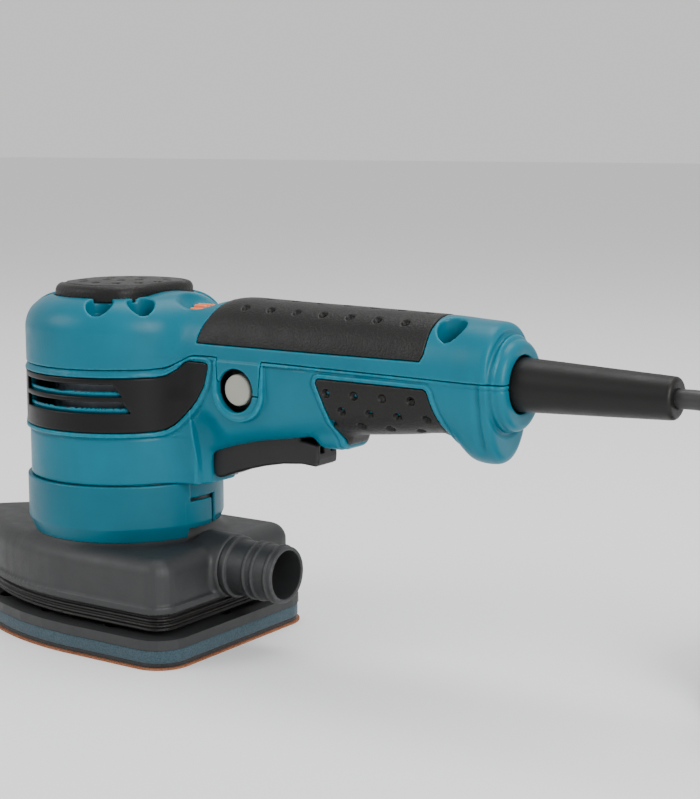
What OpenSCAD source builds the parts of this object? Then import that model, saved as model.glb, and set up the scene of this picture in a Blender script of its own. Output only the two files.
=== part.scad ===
// Corded detail sander with a vertical motor head, a rear trigger handle and an iron-shaped pad.
// Origin: on the motor axis at the sanding face. +X runs back along the handle, -Y is the tool's left.

/* [Head] */
// Outer radius of the plain motor barrel
barrel_r = 41; // [40:0.5:41.5]
// Outer radius of the vent band and the dome above it
dome_r = 42; // [41.8:0.1:42.4]
// Height of the crown of the dome, where the palm cap sits
crown_z = 144; // [143:0.5:145]
// Radius of the rubber palm cap
cap_r = 29.5; // [28:0.5:30]
// Outer radius of the shroud below the barrel
shroud_r = 42.5; // [42:0.5:43.5]

/* [Handle] */
// Wall thickness of the moulded shells
wall = 2.4; // [2:0.1:2.8]
// Height of the seam between the two shells along the handle
seam_z = 121.6; // [121:0.2:122.4]
// Height of the seam where it crosses the dome
dome_seam_z = 116; // [115:0.5:116]
// Thickness of the moulded-on rubber grips
grip_t = 0.9; // [0.6:0.1:1.2]
// Radius of the hole that the cord guard leaves through
guard_hole_r = 10.8; // [10.6:0.1:11.2]

/* [Controls] */
// Width of the trigger
trigger_w = 14; // [12:0.5:14.5]
// Radius of the lock button's face
button_r = 6.3; // [6:0.1:7]
// Radius of the speed dial
dial_r = 11; // [10:0.5:11]

/* [Pad] */
// Half of the pad's width
pad_hw = 50; // [46:1:52]
// Distance from the motor axis back to the pad's heel
pad_heel = 60; // [56:1:62]
// Orbit radius, the offset of the eccentric
orbit_r = 1; // [0.8:0.1:1.2]
// Thickness of the foam layer
foam_t = 5.6; // [5:0.1:6]

/* [Cord] */
// Diameter of the mains cord
cord_d = 7; // [6.5:0.1:7.5]
// Length of the cord guard outside the handle
guard_len = 60; // [56:1:60]

/* [Hidden] */

eps = 0.01;
round_fn = 64;
loft_sides = 28;

teal = "#007f98";
rubber = "#333231";
charcoal = "#262626";
steel = "#b8bcc0";
copper = "#b87333";

// ---- Pad stack, from the work upwards ----
sheet_t = 0.8;
hook_t = 1.6;
foam_z = sheet_t + hook_t;
plate_z = foam_z + foam_t;
plate_t = 4;
plate_top = plate_z + plate_t;
nose_r = 12;
heel_corner_r = 14;
widest_x = 8;
side_r = 130;
foot_spots = [[-38, 22], [-38, -22], [40, 30], [40, -30]];
foot_r = 5;
foot_top_z = 38;
foot_bottom_z = plate_z + 1.2;
socket_r = foot_r + orbit_r + 0.6;
spindle_bolt_at = 9.5;
dust_hole_r = 4.5;
dust_holes = [[-66, 0], [-46, 28], [-46, -28], [-14, 36], [-14, -36], [24, 38], [24, -38], [48, 0]];

// ---- Hood and shroud ----
hood_bottom = 21;
hood_top = 43;
hood_wall = 2.2;
neck_r = 38.6;
shroud_step = 1.9;
neck_top = 62;
port_z = 33;
port_r = 11.6;
port_bore_r = 10;
cap_flat_x = 23;
port_end_x = 84;
shroud_top = 68.2;
shroud_taper_z = 50;
shroud_bottom = 44.4;
split_angle = -12;

// ---- Motor ----
shaft_r = 4;
bracket_z = 62;
bracket_top = 68.3;
bracket_bolt_at = 35.2;
holder_z = 119;
journal_r = 5.2;
fit = 0.02;
bearing_r = 11;
bearing_w = 7;
lower_bearing_z = 57;
upper_bearing_z = 128;
stator_r = 31;
stator_bore_r = 19.6;
stator_z = 77;
stator_h = 32;
core_r = 19;
commutator_r = 11;
commutator_z = 113;
commutator_h = 12;
fan_z = 45;
fan_r = 30;
counter_z = 28;
pad_bearing_z = 28.6;

// ---- Handle ----
// Each station along the handle: x, top z, bottom z, half-width.
stations = [
    [20, 142.4, 86, 17], [40, 142.4, 82, 18], [53, 142.6, 81.6, 19], [64, 144.9, 85, 19.5],
    [78, 144.8, 88.4, 19.5], [96, 144.5, 90.8, 19.5], [108, 144.3, 90, 19.5],
    [117, 144.2, 90, 19.3], [123, 144.1, 95, 18.9], [136, 143.8, 96.4, 18.6],
    [150, 143.6, 97.6, 18.6], [162, 143.4, 98.4, 18.4], [168, 143.1, 95.2, 18.3],
    [173, 142.8, 91.6, 18.2], [181, 142.1, 90.8, 18], [185, 140.6, 93, 16.6]
];
mid_z = 121;
guard_z = 119.8;
collar_r = 17;
tier_r = 18;
tier_end = 187.8;
collar_end = 191;
bulkhead_x = 178;
trigger_pivot = [57.5, 88];
trigger_front = 52;
trigger_back = 104;
button_spot = [73.5, 110.2];
button_hole_r = 8.5;
dial_spot = [43, 130.4];
dial_w = 6.6;
well_r = 5.5;
head_wells = [[26.6, 20.8], [26.6, -20.8], [-26.6, 20.8], [-26.6, -20.8]];
// Finger scallops beside the front and rear wells, without screws
scallops = [[13.6, 31], [13.6, -31]];
scallop_floor = 137;
rear_wells = [[166, 9], [166, -9]];
head_well_floor = 130;
well_wall = 1.8;
rear_well_floor = 129;
stem_r = 4.8;
post_r = 4.3;
screw_r = 2;
screw_hole_r = 2.1;

// ---- Cord ----
guard_tip_x = collar_end + guard_len;
// Route of the cord from the guard's tip down onto the coil
lead_route = [
    [251, 0, 119.8], [260, 0, 119.8], [270, 0.6, 118.2], [280, 2.8, 113.9], [289, 7.2, 106.9], [297, 13.2, 97.8],
    [304, 20.2, 87.4], [310, 28, 77], [315.4, 36.4, 66.6], [320, 45.2, 56.4], [323.6, 54.2, 47],
    [326, 62.6, 39], [327, 70, 32.8]
];
// Route of the free end from the coil to the plug
tail_route = [
    [250, 70, 3.6], [250, 61, 3.6], [250.6, 52, 3.6], [252.6, 43, 3.6], [256, 34.4, 3.6],
    [260.8, 26.4, 3.9], [266.6, 19.4, 4.8], [272.6, 13.6, 6.2], [278, 8.6, 7]
];
coil_spot = [292, 70];
coil_columns = 2;
coil_layers = 5;
coil_outer_r = 45.6;
coil_inner_r = coil_outer_r - coil_columns * cord_d - 0.4;
coil_h = coil_layers * cord_d + 0.3;
plug_spot = [278, 8.6, 7];
plug_turn = -43;

// ================= helpers =================

// A closed tube-like solid through rings of points that all have the same count
module skin(rings) {
    n = len(rings[0]);
    m = len(rings);
    points = [for (r = rings) each r];
    sides = [for (i = [0 : m - 2], j = [0 : n - 1])
        each let (a = i * n + j, b = i * n + (j + 1) % n, c = b + n, d = a + n) [[a, b, c], [a, c, d]]];
    first = [for (j = [n - 1 : -1 : 0]) j];
    last = [for (j = [0 : n - 1]) (m - 1) * n + j];
    polyhedron(points = points, faces = concat(sides, [first, last]), convexity = 8);
}

function signed_pow(v, p) = sign(v) * pow(abs(v), p);

// One rounded ring of the handle, grown outwards by g
function handle_ring(s, g) = [for (k = [0 : loft_sides - 1])
    let (a = -360 * k / loft_sides, up = sin(a) >= 0, e = up ? 2 / 2.7 : 2 / 2.5)
    [s[0], (s[3] + g) * signed_pow(cos(a), e),
     mid_z + (up ? s[1] + g - mid_z : mid_z - s[2] + g) * signed_pow(sin(a), e)]];

module handle_form(g) {
    skin([for (s = stations) handle_ring(s, g)]);
}

function arc_points(c, r, a0, a1, n) = [for (k = [0 : n]) let (a = a0 + (a1 - a0) * k / n)
    [c[0] + r * cos(a), c[1] + r * sin(a)]];

// Outline of the iron-shaped pad, set in by i
function pad_points(i) = let (
        side_c = pad_hw - side_r,
        reach = sqrt(pow(side_r - nose_r, 2) - side_c * side_c),
        nose_x = widest_x - reach,
        turn = atan2(-side_c, -reach))
    concat(
        arc_points([pad_heel - heel_corner_r, pad_hw - heel_corner_r], heel_corner_r - i, 0, 90, 5),
        arc_points([widest_x, side_c], side_r - i, 90, turn, 7),
        arc_points([nose_x, 0], nose_r - i, turn + 6, 354 - turn, 7),
        arc_points([widest_x, -side_c], side_r - i, 360 - turn, 270, 7),
        arc_points([pad_heel - heel_corner_r, heel_corner_r - pad_hw], heel_corner_r - i, 270, 360, 5));

module pad_layer(i, z, t) {
    translate([orbit_r, 0, z]) linear_extrude(t) polygon(pad_points(i));
}

module pad_dust_holes(z, t) {
    for (p = dust_holes) translate([orbit_r + p[0], p[1], z - eps])
        cylinder(r = dust_hole_r, h = t + 2 * eps, $fn = 32);
}

// An outline in X and Z, pushed through from y0 to y1
module side_cut(points, y0 = -60, y1 = 60) {
    translate([0, y1, 0]) rotate([90, 0, 0]) linear_extrude(y1 - y0) polygon(points);
}

module along_x(r, x0, x1, y = 0, z = guard_z, fn = round_fn) {
    translate([x0, y, z]) rotate([0, 90, 0]) cylinder(r = r, h = x1 - x0, $fn = fn);
}

module along_y(r, y0, y1, x, z, fn = round_fn) {
    translate([x, y1, z]) rotate([90, 0, 0]) cylinder(r = r, h = y1 - y0, $fn = fn);
}

module ring(ro, ri, z, h) {
    translate([0, 0, z]) difference() {
        cylinder(r = ro, h = h, $fn = round_fn);
        translate([0, 0, -1]) cylinder(r = ri, h = h + 2, $fn = round_fn);
    }
}

module screw(head_r, head_h, shank_r, shank_h) {
    difference() {
        union() {
            translate([0, 0, shank_h]) cylinder(r = head_r, h = head_h, $fn = 32);
            cylinder(r = shank_r, h = shank_h + eps, $fn = 24);
        }
        for (a = [0, 90]) translate([0, 0, shank_h + head_h]) rotate(a)
            cube([head_r * 1.3, head_r * 0.28, head_h], center = true);
    }
}

// A wire coil of the given mean radius, standing on z = 0
module coil_spring(r, wire_r, turns, h) {
    per_turn = 12;
    n = turns * per_turn;
    skin([for (i = [0 : n]) let (a = -360 * i / per_turn)
        [for (k = [0 : 5]) let (b = 60 * k)
            [(r + wire_r * cos(b)) * cos(a), (r + wire_r * cos(b)) * sin(a),
             wire_r + (h - 2 * wire_r) * i / n + wire_r * sin(b)]]]);
}

function unit(v) = v / norm(v);
function route_dir(p, i) = unit(p[min(i + 1, len(p) - 1)] - p[max(i - 1, 0)]);

// A round tube swept along a route; the ends of the route face straight along it
module route_tube(p, r, sides) {
    skin([for (i = [0 : len(p) - 1])
        let (t = route_dir(p, i), u = unit(cross(t, [0.13, 0.1, 1])), v = cross(u, t))
        [for (k = [0 : sides - 1]) let (a = 360 * k / sides) p[i] + r * (cos(a) * u + sin(a) * v)]]);
}

// ================= casings =================

module head_form(g) {
    shoulder = 14 - g;
    shoulder_c = crown_z - 14;
    rotate_extrude($fn = 96) polygon(concat(
        [[0, 68.5], [barrel_r - g, 68.5], [barrel_r - g, 88 + g], [dome_r - g, 89 + g]],
        arc_points([dome_r - 14, shoulder_c], shoulder, 0, 90, 9),
        [[0, crown_z - g]]));
}

// Column that carries the handle's root down the back of the barrel
module root_form(g) {
    translate([25, -14 + g, 68.5 + g]) cube([21 - g, 28 - 2 * g, 40]);
    translate([25, -9.5 + g, 68.5 + g]) cube([27 - g, 19 - 2 * g, 24]);
}

seam_path = [[-60, dome_seam_z], [34, dome_seam_z], [38.5, dome_seam_z + 0.8], [44, dome_seam_z + 3.3],
    [50.5, seam_z + 0.5], [56, seam_z + 1], [70, seam_z + 0.9], [210, seam_z - 0.9]];

module above_seam() {
    side_cut(concat(seam_path, [[210, 170], [-60, 170]]));
}

module below_seam() {
    side_cut(concat(seam_path, [[210, 40], [-60, 40]]));
}

module casing_outside() {
    head_form(0);
    handle_form(0);
    root_form(0);
    along_x(tier_r, tier_end - 4, tier_end);
    along_x(collar_r, 176, collar_end);
}

module casing_inside() {
    intersection() {
        head_form(wall);
        translate([-60, -60, 71]) cube([120, 120, crown_z - 71 - 4.4]);
    }
    intersection() {
        handle_form(-wall);
        translate([0, -40, 60]) cube([bulkhead_x, 80, 100]);
    }
    intersection() {
        root_form(wall);
        translate([0, -40, 84]) cube([60, 80, 40]);
    }
}

module casing_holes() {
    along_x(guard_hole_r, bulkhead_x + 3, collar_end + 1);
    along_x(10.2, bulkhead_x - 1, bulkhead_x + 4);
    // shaft and cooling air leave through the floor of the barrel
    translate([0, 0, 60]) cylinder(r = 33, h = 14, $fn = round_fn);
    // trigger slot
    translate([trigger_front - 0.8, -trigger_w / 2 - 0.6, 71]) cube([55, trigger_w + 1.2, 26]);
    // lock button
    along_y(button_hole_r, -30, -10, button_spot[0], button_spot[1]);
    // speed dial
    translate([dial_spot[0] - dial_w / 2 - 0.6, -9, dial_spot[1]]) cube([dial_w + 1.2, 18, 30]);
    // screw wells and the clear holes under them
    for (p = head_wells) {
        translate([p[0], p[1], head_well_floor]) cylinder(r = well_r, h = 20, $fn = 40);
        translate([p[0], p[1], 100]) cylinder(r = screw_hole_r, h = 40, $fn = 24);
    }
    for (p = scallops) translate([p[0], p[1], scallop_floor]) cylinder(r = well_r, h = 20, $fn = 40);
    for (p = rear_wells) {
        translate([p[0], p[1], rear_well_floor]) cylinder(r = well_r, h = 20, $fn = 40);
        translate([p[0], p[1], 104]) cylinder(r = screw_hole_r, h = 40, $fn = 24);
    }
    // bolts that hold the bearing bracket under the barrel
    for (a = [45 : 90 : 315]) rotate(a) translate([bracket_bolt_at, 0, 60])
        cylinder(r = 1.6 + fit, h = 12.5, $fn = 24);
    // recess for the palm cap
    intersection() {
        translate([0, 0, crown_z - 2]) cylinder(r = cap_r + 0.1, h = 10, $fn = 96);
        translate([-cap_flat_x - 0.1, -60, 0]) cube([2 * cap_flat_x + 0.2, 120, 200]);
    }
}

// Louvre slots through the vent band and the panels over it
module vent_slots() {
    for (side = [-1, 1], z = [94, 98.5, 103, 107.5])
        translate([-20, side > 0 ? 30 : -50, z]) cube([42, 20, 2.4]);
}

// Screw posts inside the shells
module upper_posts() {
    for (p = head_wells) translate([p[0], p[1], dome_seam_z]) {
        cylinder(r = post_r + 1, h = 22, $fn = 32);
        translate([0, 0, head_well_floor - dome_seam_z - 3]) cylinder(r = well_r + well_wall, h = 20, $fn = 40);
    }
    for (p = scallops) translate([p[0], p[1], scallop_floor - 3]) cylinder(r = well_r + well_wall, h = 12, $fn = 40);
    for (p = rear_wells) translate([p[0], p[1], seam_z - 2]) {
        cylinder(r = stem_r, h = 20, $fn = 32);
        translate([0, 0, rear_well_floor - seam_z - 2.4]) cylinder(r = well_r + well_wall, h = 20, $fn = 40);
    }
    ring(16, 13.1, 126, 13);
}

module lower_posts() {
    for (p = head_wells) translate([p[0], p[1], stator_z + stator_h + 0.6])
        cylinder(r = post_r, h = dome_seam_z - stator_z - stator_h - 0.6, $fn = 32);
    for (p = rear_wells) translate([p[0], p[1], 92]) cylinder(r = stem_r, h = seam_z - 92, $fn = 32);
}

module upper_shell() {
    color(teal) difference() {
        union() {
            intersection() {
                difference() {
                    casing_outside();
                    casing_inside();
                }
                above_seam();
            }
            intersection() {
                upper_posts();
                casing_outside();
                above_seam();
            }
        }
        casing_holes();
    }
}

module lower_shell() {
    color(teal) difference() {
        union() {
            intersection() {
                difference() {
                    casing_outside();
                    casing_inside();
                }
                below_seam();
            }
            intersection() {
                lower_posts();
                casing_outside();
                below_seam();
            }
            // ears that carry the trigger's pivot
            for (y = [-10.6, 8.6]) translate([trigger_pivot[0] - 4, y, 82]) cube([8, 2, 12]);
            // lip under the front of the trigger
            translate([50, -7, 68.5]) cube([12, 14, 1.7]);
        }
        casing_holes();
        vent_slots();
        along_y(2.02, -10.7, 10.7, trigger_pivot[0], trigger_pivot[1], 32);
    }
}

module head_cap() {
    color(rubber) intersection() {
        rotate_extrude($fn = 96) polygon(concat(
            [[0, crown_z - 2], [cap_r, crown_z - 2], [cap_r, crown_z + 0.6]],
            arc_points([cap_r - 4, crown_z + 0.6], 4, 20, 70, 4),
            [[cap_r - 12, crown_z + 5.3], [0, crown_z + 6]]));
        translate([-cap_flat_x, -60, 0]) cube([2 * cap_flat_x, 120, 200]);
    }
}

// A rubber skin over the handle, inside an outline seen from the side
module handle_skin(points) {
    intersection() {
        difference() {
            handle_form(grip_t);
            handle_form(0);
        }
        side_cut(points);
    }
}

module upper_grip() {
    color(rubber) handle_skin(concat(
        arc_points([81, 127.8], 26, 180, 130, 6), [[66, 150]],
        [[164, 150], [160.6, 140]], [[158, 134], [156, 127.8]]));
}

module lower_grip() {
    color(rubber) handle_skin([[112, 117.4], [160.6, 117.4], [161.6, 108], [164, 101], [168, 92], [121, 92],
        [119, 97], [114, 108]]);
}

panel_outline = concat(
    arc_points([-30, 93.6], 3.4, 270, 180, 3), arc_points([-30, 109], 3.4, 180, 90, 3),
    [[30, 112.4], [37, 113], [42, 116], [45, 118.6], [57, 118.6]],
    arc_points([33, 118], 27.6, -28, -84, 6));

module vent_panel(side) {
    color(charcoal) difference() {
        intersection() {
            union() {
                translate([0, 0, 89.5]) cylinder(r = dome_r + grip_t, h = 25, $fn = 96);
                handle_form(grip_t);
            }
            side_cut(panel_outline, side < 0 ? -60 : 6, side < 0 ? -6 : 60);
        }
        translate([0, 0, 80]) cylinder(r = dome_r, h = 50, $fn = 96);
        handle_form(0);
        root_form(0);
        vent_slots();
    }
}

module vent_panel_left() { vent_panel(-1); }
module vent_panel_right() { vent_panel(1); }

module shroud_section(g) {
    polygon([[neck_r + 0.4, shroud_top], [shroud_r - g, shroud_top], [shroud_r - g, shroud_taper_z],
        [neck_r + 1.4, shroud_bottom], [neck_r + 0.4, shroud_bottom]]);
}

module shroud_tab(clear) {
    rotate(split_angle - 1) rotate_extrude(angle = 17 + 2 * clear, $fn = 96)
        translate([shroud_r - 1.6, 51 - clear]) square([1.6, 9 + 2 * clear]);
}

module shroud_left() {
    color(teal) {
        rotate(180 - split_angle) rotate_extrude(angle = 180 + 2 * split_angle, $fn = 96) shroud_section(0);
        shroud_tab(0);
    }
}

module shroud_right() {
    color(teal) difference() {
        rotate(split_angle) rotate_extrude(angle = 180 - 2 * split_angle, $fn = 96) shroud_section(shroud_step);
        shroud_tab(0.4);
    }
}

// ================= dust path =================

module dust_hood() {
    color(charcoal) difference() {
        union() {
            translate([0, 0, hood_bottom]) linear_extrude(hood_top - hood_bottom) polygon(pad_points(5));
            translate([0, 0, hood_top - eps]) cylinder(r = neck_r, h = neck_top - hood_top, $fn = round_fn);
            intersection() {
                along_x(port_r + 1.8, 44, 58, 0, port_z);
                translate([40, -20, hood_bottom]) cube([20, 40, 40]);
            }
        }
        translate([0, 0, hood_bottom - 1]) linear_extrude(hood_top - hood_bottom - 1.2)
            polygon(pad_points(5 + hood_wall));
        cylinder(r = neck_r - 3, h = 80, $fn = round_fn);
        along_x(port_r + 0.05, 43, 59, 0, port_z);
    }
}

module dust_port() {
    color(charcoal) difference() {
        union() {
            along_x(port_r, 46, port_end_x, 0, port_z);
            along_x(port_r + 1.2, 58, 61, 0, port_z);
            along_x(port_r + 0.8, port_end_x - 4, port_end_x - 2.5, 0, port_z);
        }
        along_x(port_bore_r, 40, port_end_x + 1, 0, port_z);
    }
}

module pad_seal() {
    color(rubber) difference() {
        translate([0, 0, plate_top + 2]) linear_extrude(hood_bottom - plate_top - 2)
            polygon(pad_points(5 + 0.4));
        translate([0, 0, plate_top]) linear_extrude(hood_bottom) polygon(pad_points(5 + 0.4 + 1.6));
    }
}

module flexible_feet() {
    color(rubber) for (p = foot_spots) translate([p[0], p[1], 0]) {
        translate([0, 0, foot_bottom_z]) cylinder(r = foot_r, h = foot_top_z - foot_bottom_z, $fn = 40);
        translate([0, 0, foot_top_z - eps])
            cylinder(r = foot_r + 1.5, h = hood_top - hood_wall - foot_top_z, $fn = 40);
        translate([0, 0, 24]) cylinder(r = foot_r + 1.2, h = 2, $fn = 40);
    }
}

// ================= motor =================

module stator_core() {
    color(steel) difference() {
        translate([0, 0, stator_z]) cylinder(r = stator_r, h = stator_h, $fn = round_fn);
        translate([0, 0, stator_z - 1]) cylinder(r = stator_bore_r, h = stator_h + 2, $fn = round_fn);
        for (s = [-1, 1]) translate([s * 32, 0, stator_z + 10]) cube([6, 26, 80], center = true);
        for (sx = [-1, 1], sy = [-1, 1]) translate([sx * 14, sy * 20, stator_z - 1])
            cylinder(r = 3.4, h = stator_h + 2, $fn = 24);
    }
}

module field_coils() {
    end_gap = 1.2;
    end_t = 2.4;
    color(copper) for (sx = [-1, 1], sy = [-1, 1]) translate([sx * 14, sy * 20, stator_z - end_gap - 0.4])
        cylinder(r = 3.2, h = stator_h + 2 * end_gap + 0.8, $fn = 24);
    color(copper) for (sy = [-1, 1], z = [stator_z - end_gap - end_t, stator_z + stator_h + end_gap])
        translate([-17, sy * 20 - 3.2, z]) cube([34, 6.4, end_t]);
}

module bearing(ro, ri, w) {
    difference() {
        cylinder(r = ro, h = w, $fn = round_fn);
        translate([0, 0, -1]) cylinder(r = ri, h = w + 2, $fn = round_fn);
        for (z = [-eps, w - 0.5]) translate([0, 0, z]) difference() {
            cylinder(r = ro - 1.8, h = 0.5 + eps, $fn = round_fn);
            translate([0, 0, -1]) cylinder(r = ri + 1.8, h = 3, $fn = round_fn);
        }
    }
}

module bearing_bracket() {
    color("silver") difference() {
        union() {
            translate([0, 0, bracket_z + 0.1])
                cylinder(r = neck_r, h = bracket_top - bracket_z - 0.1, $fn = round_fn);
            translate([0, 0, 56]) cylinder(r = 14, h = 8, $fn = round_fn);
        }
        ring(32, 17, bracket_z + 3, 10);
        for (a = [0 : 45 : 315]) rotate(a + 22.5) translate([24, 0, 60]) cylinder(r = 5, h = 10, $fn = 32);
        translate([0, 0, lower_bearing_z]) cylinder(r = bearing_r, h = 20, $fn = round_fn);
        translate([0, 0, 50]) cylinder(r = 7.5, h = 20, $fn = round_fn);
        for (a = [45 : 90 : 315]) rotate(a) translate([bracket_bolt_at, 0, 60])
            cylinder(r = 1.7, h = 12, $fn = 24);
    }
}

module lower_bearing() {
    color(steel) translate([0, 0, lower_bearing_z]) bearing(bearing_r, shaft_r + 0.05, bearing_w);
}

module upper_bearing() {
    color(steel) translate([0, 0, upper_bearing_z]) bearing(bearing_r, shaft_r + 0.05, bearing_w);
}

module bearing_sleeve() {
    color(rubber) ring(13.1, bearing_r, upper_bearing_z - 0.5, bearing_w + 1);
}

module brush_holders() {
    color("peru") for (s = [-1, 1]) translate([0, s * 21, holder_z]) difference() {
        cube([11, 15, 12], center = true);
        cube([6.6, 16, 8.6], center = true);
    }
}

module carbon_brushes() {
    color("#3a3a3a") for (s = [-1, 1]) translate([0, s * 16, holder_z])
        cube([6, 9, 8], center = true);
}

module brush_springs() {
    color(steel) for (s = [-1, 1]) translate([0, s * 20.8, holder_z]) rotate([s * -90, 0, 0])
        coil_spring(2.2, 0.35, 4, 7);
}

module motor_shaft() {
    color(steel) {
        translate([0, 0, 40]) cylinder(r = shaft_r, h = 97, $fn = round_fn);
        translate([0, 0, 66.5]) cylinder(r = journal_r, h = 60, $fn = round_fn);
    }
}

module armature_core() {
    color("gray") difference() {
        union() {
            translate([0, 0, stator_z + 1]) cylinder(r = core_r, h = stator_h - 2, $fn = round_fn);
            translate([0, 0, stator_z - 5]) cylinder(r = core_r - 3.5, h = stator_h + 8.4, $fn = round_fn);
        }
        translate([0, 0, 60]) cylinder(r = journal_r + fit, h = 60, $fn = round_fn);
        for (k = [0 : 11]) rotate(30 * k) translate([core_r, 0, stator_z])
            cube([3, 1.8, 90], center = true);
    }
}

module commutator() {
    color(copper) difference() {
        translate([0, 0, commutator_z + 1.5])
            cylinder(r = commutator_r, h = commutator_h - 1.5, $fn = round_fn);
        translate([0, 0, 100]) cylinder(r = journal_r + fit, h = 40, $fn = round_fn);
        for (k = [0 : 23]) rotate(15 * k) translate([commutator_r, 0, commutator_z])
            cube([1.2, 0.5, 60], center = true);
    }
}

module cooling_fan() {
    blade_count = 12;
    color(charcoal) difference() {
        union() {
            translate([0, 0, fan_z]) cylinder(r = fan_r, h = 1.8, $fn = round_fn);
            translate([0, 0, fan_z]) cylinder(r = 8, h = 10, $fn = round_fn);
            for (k = [0 : blade_count - 1]) rotate(360 * k / blade_count)
                translate([7.5, -0.7, fan_z + 1]) cube([fan_r - 8, 1.4, 8.5]);
        }
        translate([0, 0, 30]) cylinder(r = shaft_r + fit, h = 40, $fn = round_fn);
    }
}

module counterweight() {
    color("slategray") difference() {
        union() {
            translate([0, 0, counter_z]) cylinder(r = 15, h = 15.5, $fn = round_fn);
            translate([0, 0, counter_z + 4]) rotate(110) rotate_extrude(angle = 140, $fn = 96)
                translate([12, 0]) square([14, 9]);
        }
        translate([0, 0, 40]) cylinder(r = shaft_r + fit, h = 10, $fn = round_fn);
        translate([orbit_r, 0, counter_z - 1]) cylinder(r = bearing_r + fit, h = 9, $fn = round_fn);
        translate([orbit_r, 0, counter_z + 6]) cylinder(r = 6, h = 4, $fn = round_fn);
    }
}

module pad_bearing() {
    color(steel) translate([orbit_r, 0, pad_bearing_z]) bearing(bearing_r, shaft_r, bearing_w);
}

// ================= pad =================

module pad_spindle() {
    color(steel) translate([orbit_r, 0, 0]) difference() {
        union() {
            translate([0, 0, plate_top]) cylinder(r = 13, h = 3, $fn = round_fn);
            translate([0, 0, plate_top + 2])
                cylinder(r = 6, h = pad_bearing_z - plate_top - 2.3, $fn = round_fn);
            translate([0, 0, plate_top + 2]) cylinder(r = shaft_r - 0.03, h = 22.5, $fn = round_fn);
        }
        for (a = [45 : 90 : 315]) rotate(a) translate([spindle_bolt_at, 0, 0])
            cylinder(r = 1.6, h = 40, $fn = 24);
    }
}

module spindle_screws() {
    color(steel) translate([orbit_r, 0, plate_z + 0.6]) for (a = [45 : 90 : 315]) rotate(a)
        translate([spindle_bolt_at, 0, 0]) screw(2.6, 1.6, 1.55, plate_t + 3 - 0.6);
}

module base_plate() {
    color(charcoal) difference() {
        union() {
            pad_layer(0.5, plate_z, plate_t);
            for (p = foot_spots) translate([orbit_r + p[0], p[1], plate_z])
                cylinder(r = socket_r + 1.4, h = plate_t + 1.6, $fn = 40);
        }
        for (p = foot_spots) translate([orbit_r + p[0], p[1], plate_z + 0.9])
            cylinder(r = socket_r, h = 20, $fn = 40);
        pad_dust_holes(plate_z, plate_t);
        translate([orbit_r, 0, 0]) for (a = [45 : 90 : 315]) rotate(a)
            translate([spindle_bolt_at, 0, 0]) cylinder(r = 1.56, h = 40, $fn = 24);
    }
}

module foam_pad() {
    color("#2f4a52") difference() {
        pad_layer(0.9, foam_z, foam_t);
        pad_dust_holes(foam_z, foam_t);
    }
}

module hook_face() {
    color("#1c1c1c") difference() {
        pad_layer(1.2, sheet_t, hook_t);
        pad_dust_holes(sheet_t, hook_t);
    }
}

module abrasive_sheet() {
    color("#9c5a32") difference() {
        pad_layer(0, 0, sheet_t);
        pad_dust_holes(0, sheet_t);
    }
}

// ================= controls =================

trigger_outline = concat(
    [[trigger_front, 72], [53.5, 71.1], [57, 71.5], [66, 75], [76, 78], [88, 80.4], [97, 81.2], [104, 80.6]],
    [[trigger_back, 89.4], [96, 90.8], [94, 95.6], [84, 95.6], [82, 91], [64, 90.6], [61, 92.4], [54, 92.4],
        [trigger_front, 90]]);

module trigger() {
    color("#4a4a4a") difference() {
        side_cut(trigger_outline, -trigger_w / 2, trigger_w / 2);
        along_y(2.05, -10, 10, trigger_pivot[0], trigger_pivot[1], 32);
        for (s = [-1, 1]) translate([trigger_back - 2, s * 4 - 1.6, 86.4]) cube([4, 3.2, 2.4]);
        translate([71, 0, 88.2]) cylinder(r = 4, h = 5, $fn = 32);
    }
}

module trigger_pin() {
    color(steel) along_y(2, -10.6, 10.6, trigger_pivot[0], trigger_pivot[1], 32);
}

module trigger_spring() {
    color(steel) translate([71, 0, 88.3]) coil_spring(3, 0.4, 5, 12.4);
}

module switch_body() {
    color("black") difference() {
        translate([64, -9.5, 101]) cube([40, 19, 19]);
        translate([85, -3.4, 100]) cube([8, 6.8, 9]);
        along_y(3.4, -10, -4, button_spot[0], button_spot[1]);
    }
}

module switch_plunger() {
    color("ivory") translate([86, -3, 95.9]) cube([6, 6, 9]);
}

module lock_button() {
    color("#9a9a90") {
        along_y(button_r, -18.9, -14.2, button_spot[0], button_spot[1]);
        along_y(2.4, -14.3, -8, button_spot[0], button_spot[1], 32);
    }
}

module lock_spring() {
    color(steel) translate([button_spot[0], -14.1, button_spot[1]]) rotate([-90, 0, 0])
        coil_spring(3, 0.3, 4, 4.4);
}

module speed_dial() {
    color("#e8743a") difference() {
        union() {
            along_x(dial_r - 0.5, dial_spot[0] - dial_w / 2, dial_spot[0] + dial_w / 2, 0, dial_spot[1]);
            for (k = [0 : 23]) translate([dial_spot[0], 0, dial_spot[1]]) rotate([15 * k, 0, 0])
                translate([0, 0, dial_r - 0.7]) cube([dial_w - 1, 1.3, 1.2], center = true);
        }
        along_x(2.04, dial_spot[0] - 6, dial_spot[0] + 6, 0, dial_spot[1], 32);
    }
}

module speed_board() {
    color("darkgreen") {
        translate([34, -11, 113]) cube([1.6, 22, 21.4]);
        along_x(2, 35.6, dial_spot[0] + 5, 0, dial_spot[1], 32);
    }
}

module capacitor() {
    color("gold") translate([112, -8, 104]) cube([18, 16, 14]);
}

module inner_leads() {
    color("saddlebrown") for (y = [-6.5, 6.5]) translate([0, y, 0]) {
        along_x(1.1, 104.1, 141, 0, 124, 16);
    }
    color("steelblue") for (y = [-6.5, 6.5]) along_x(1.1, 104.1, 111, y, 108, 16);
}

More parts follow.
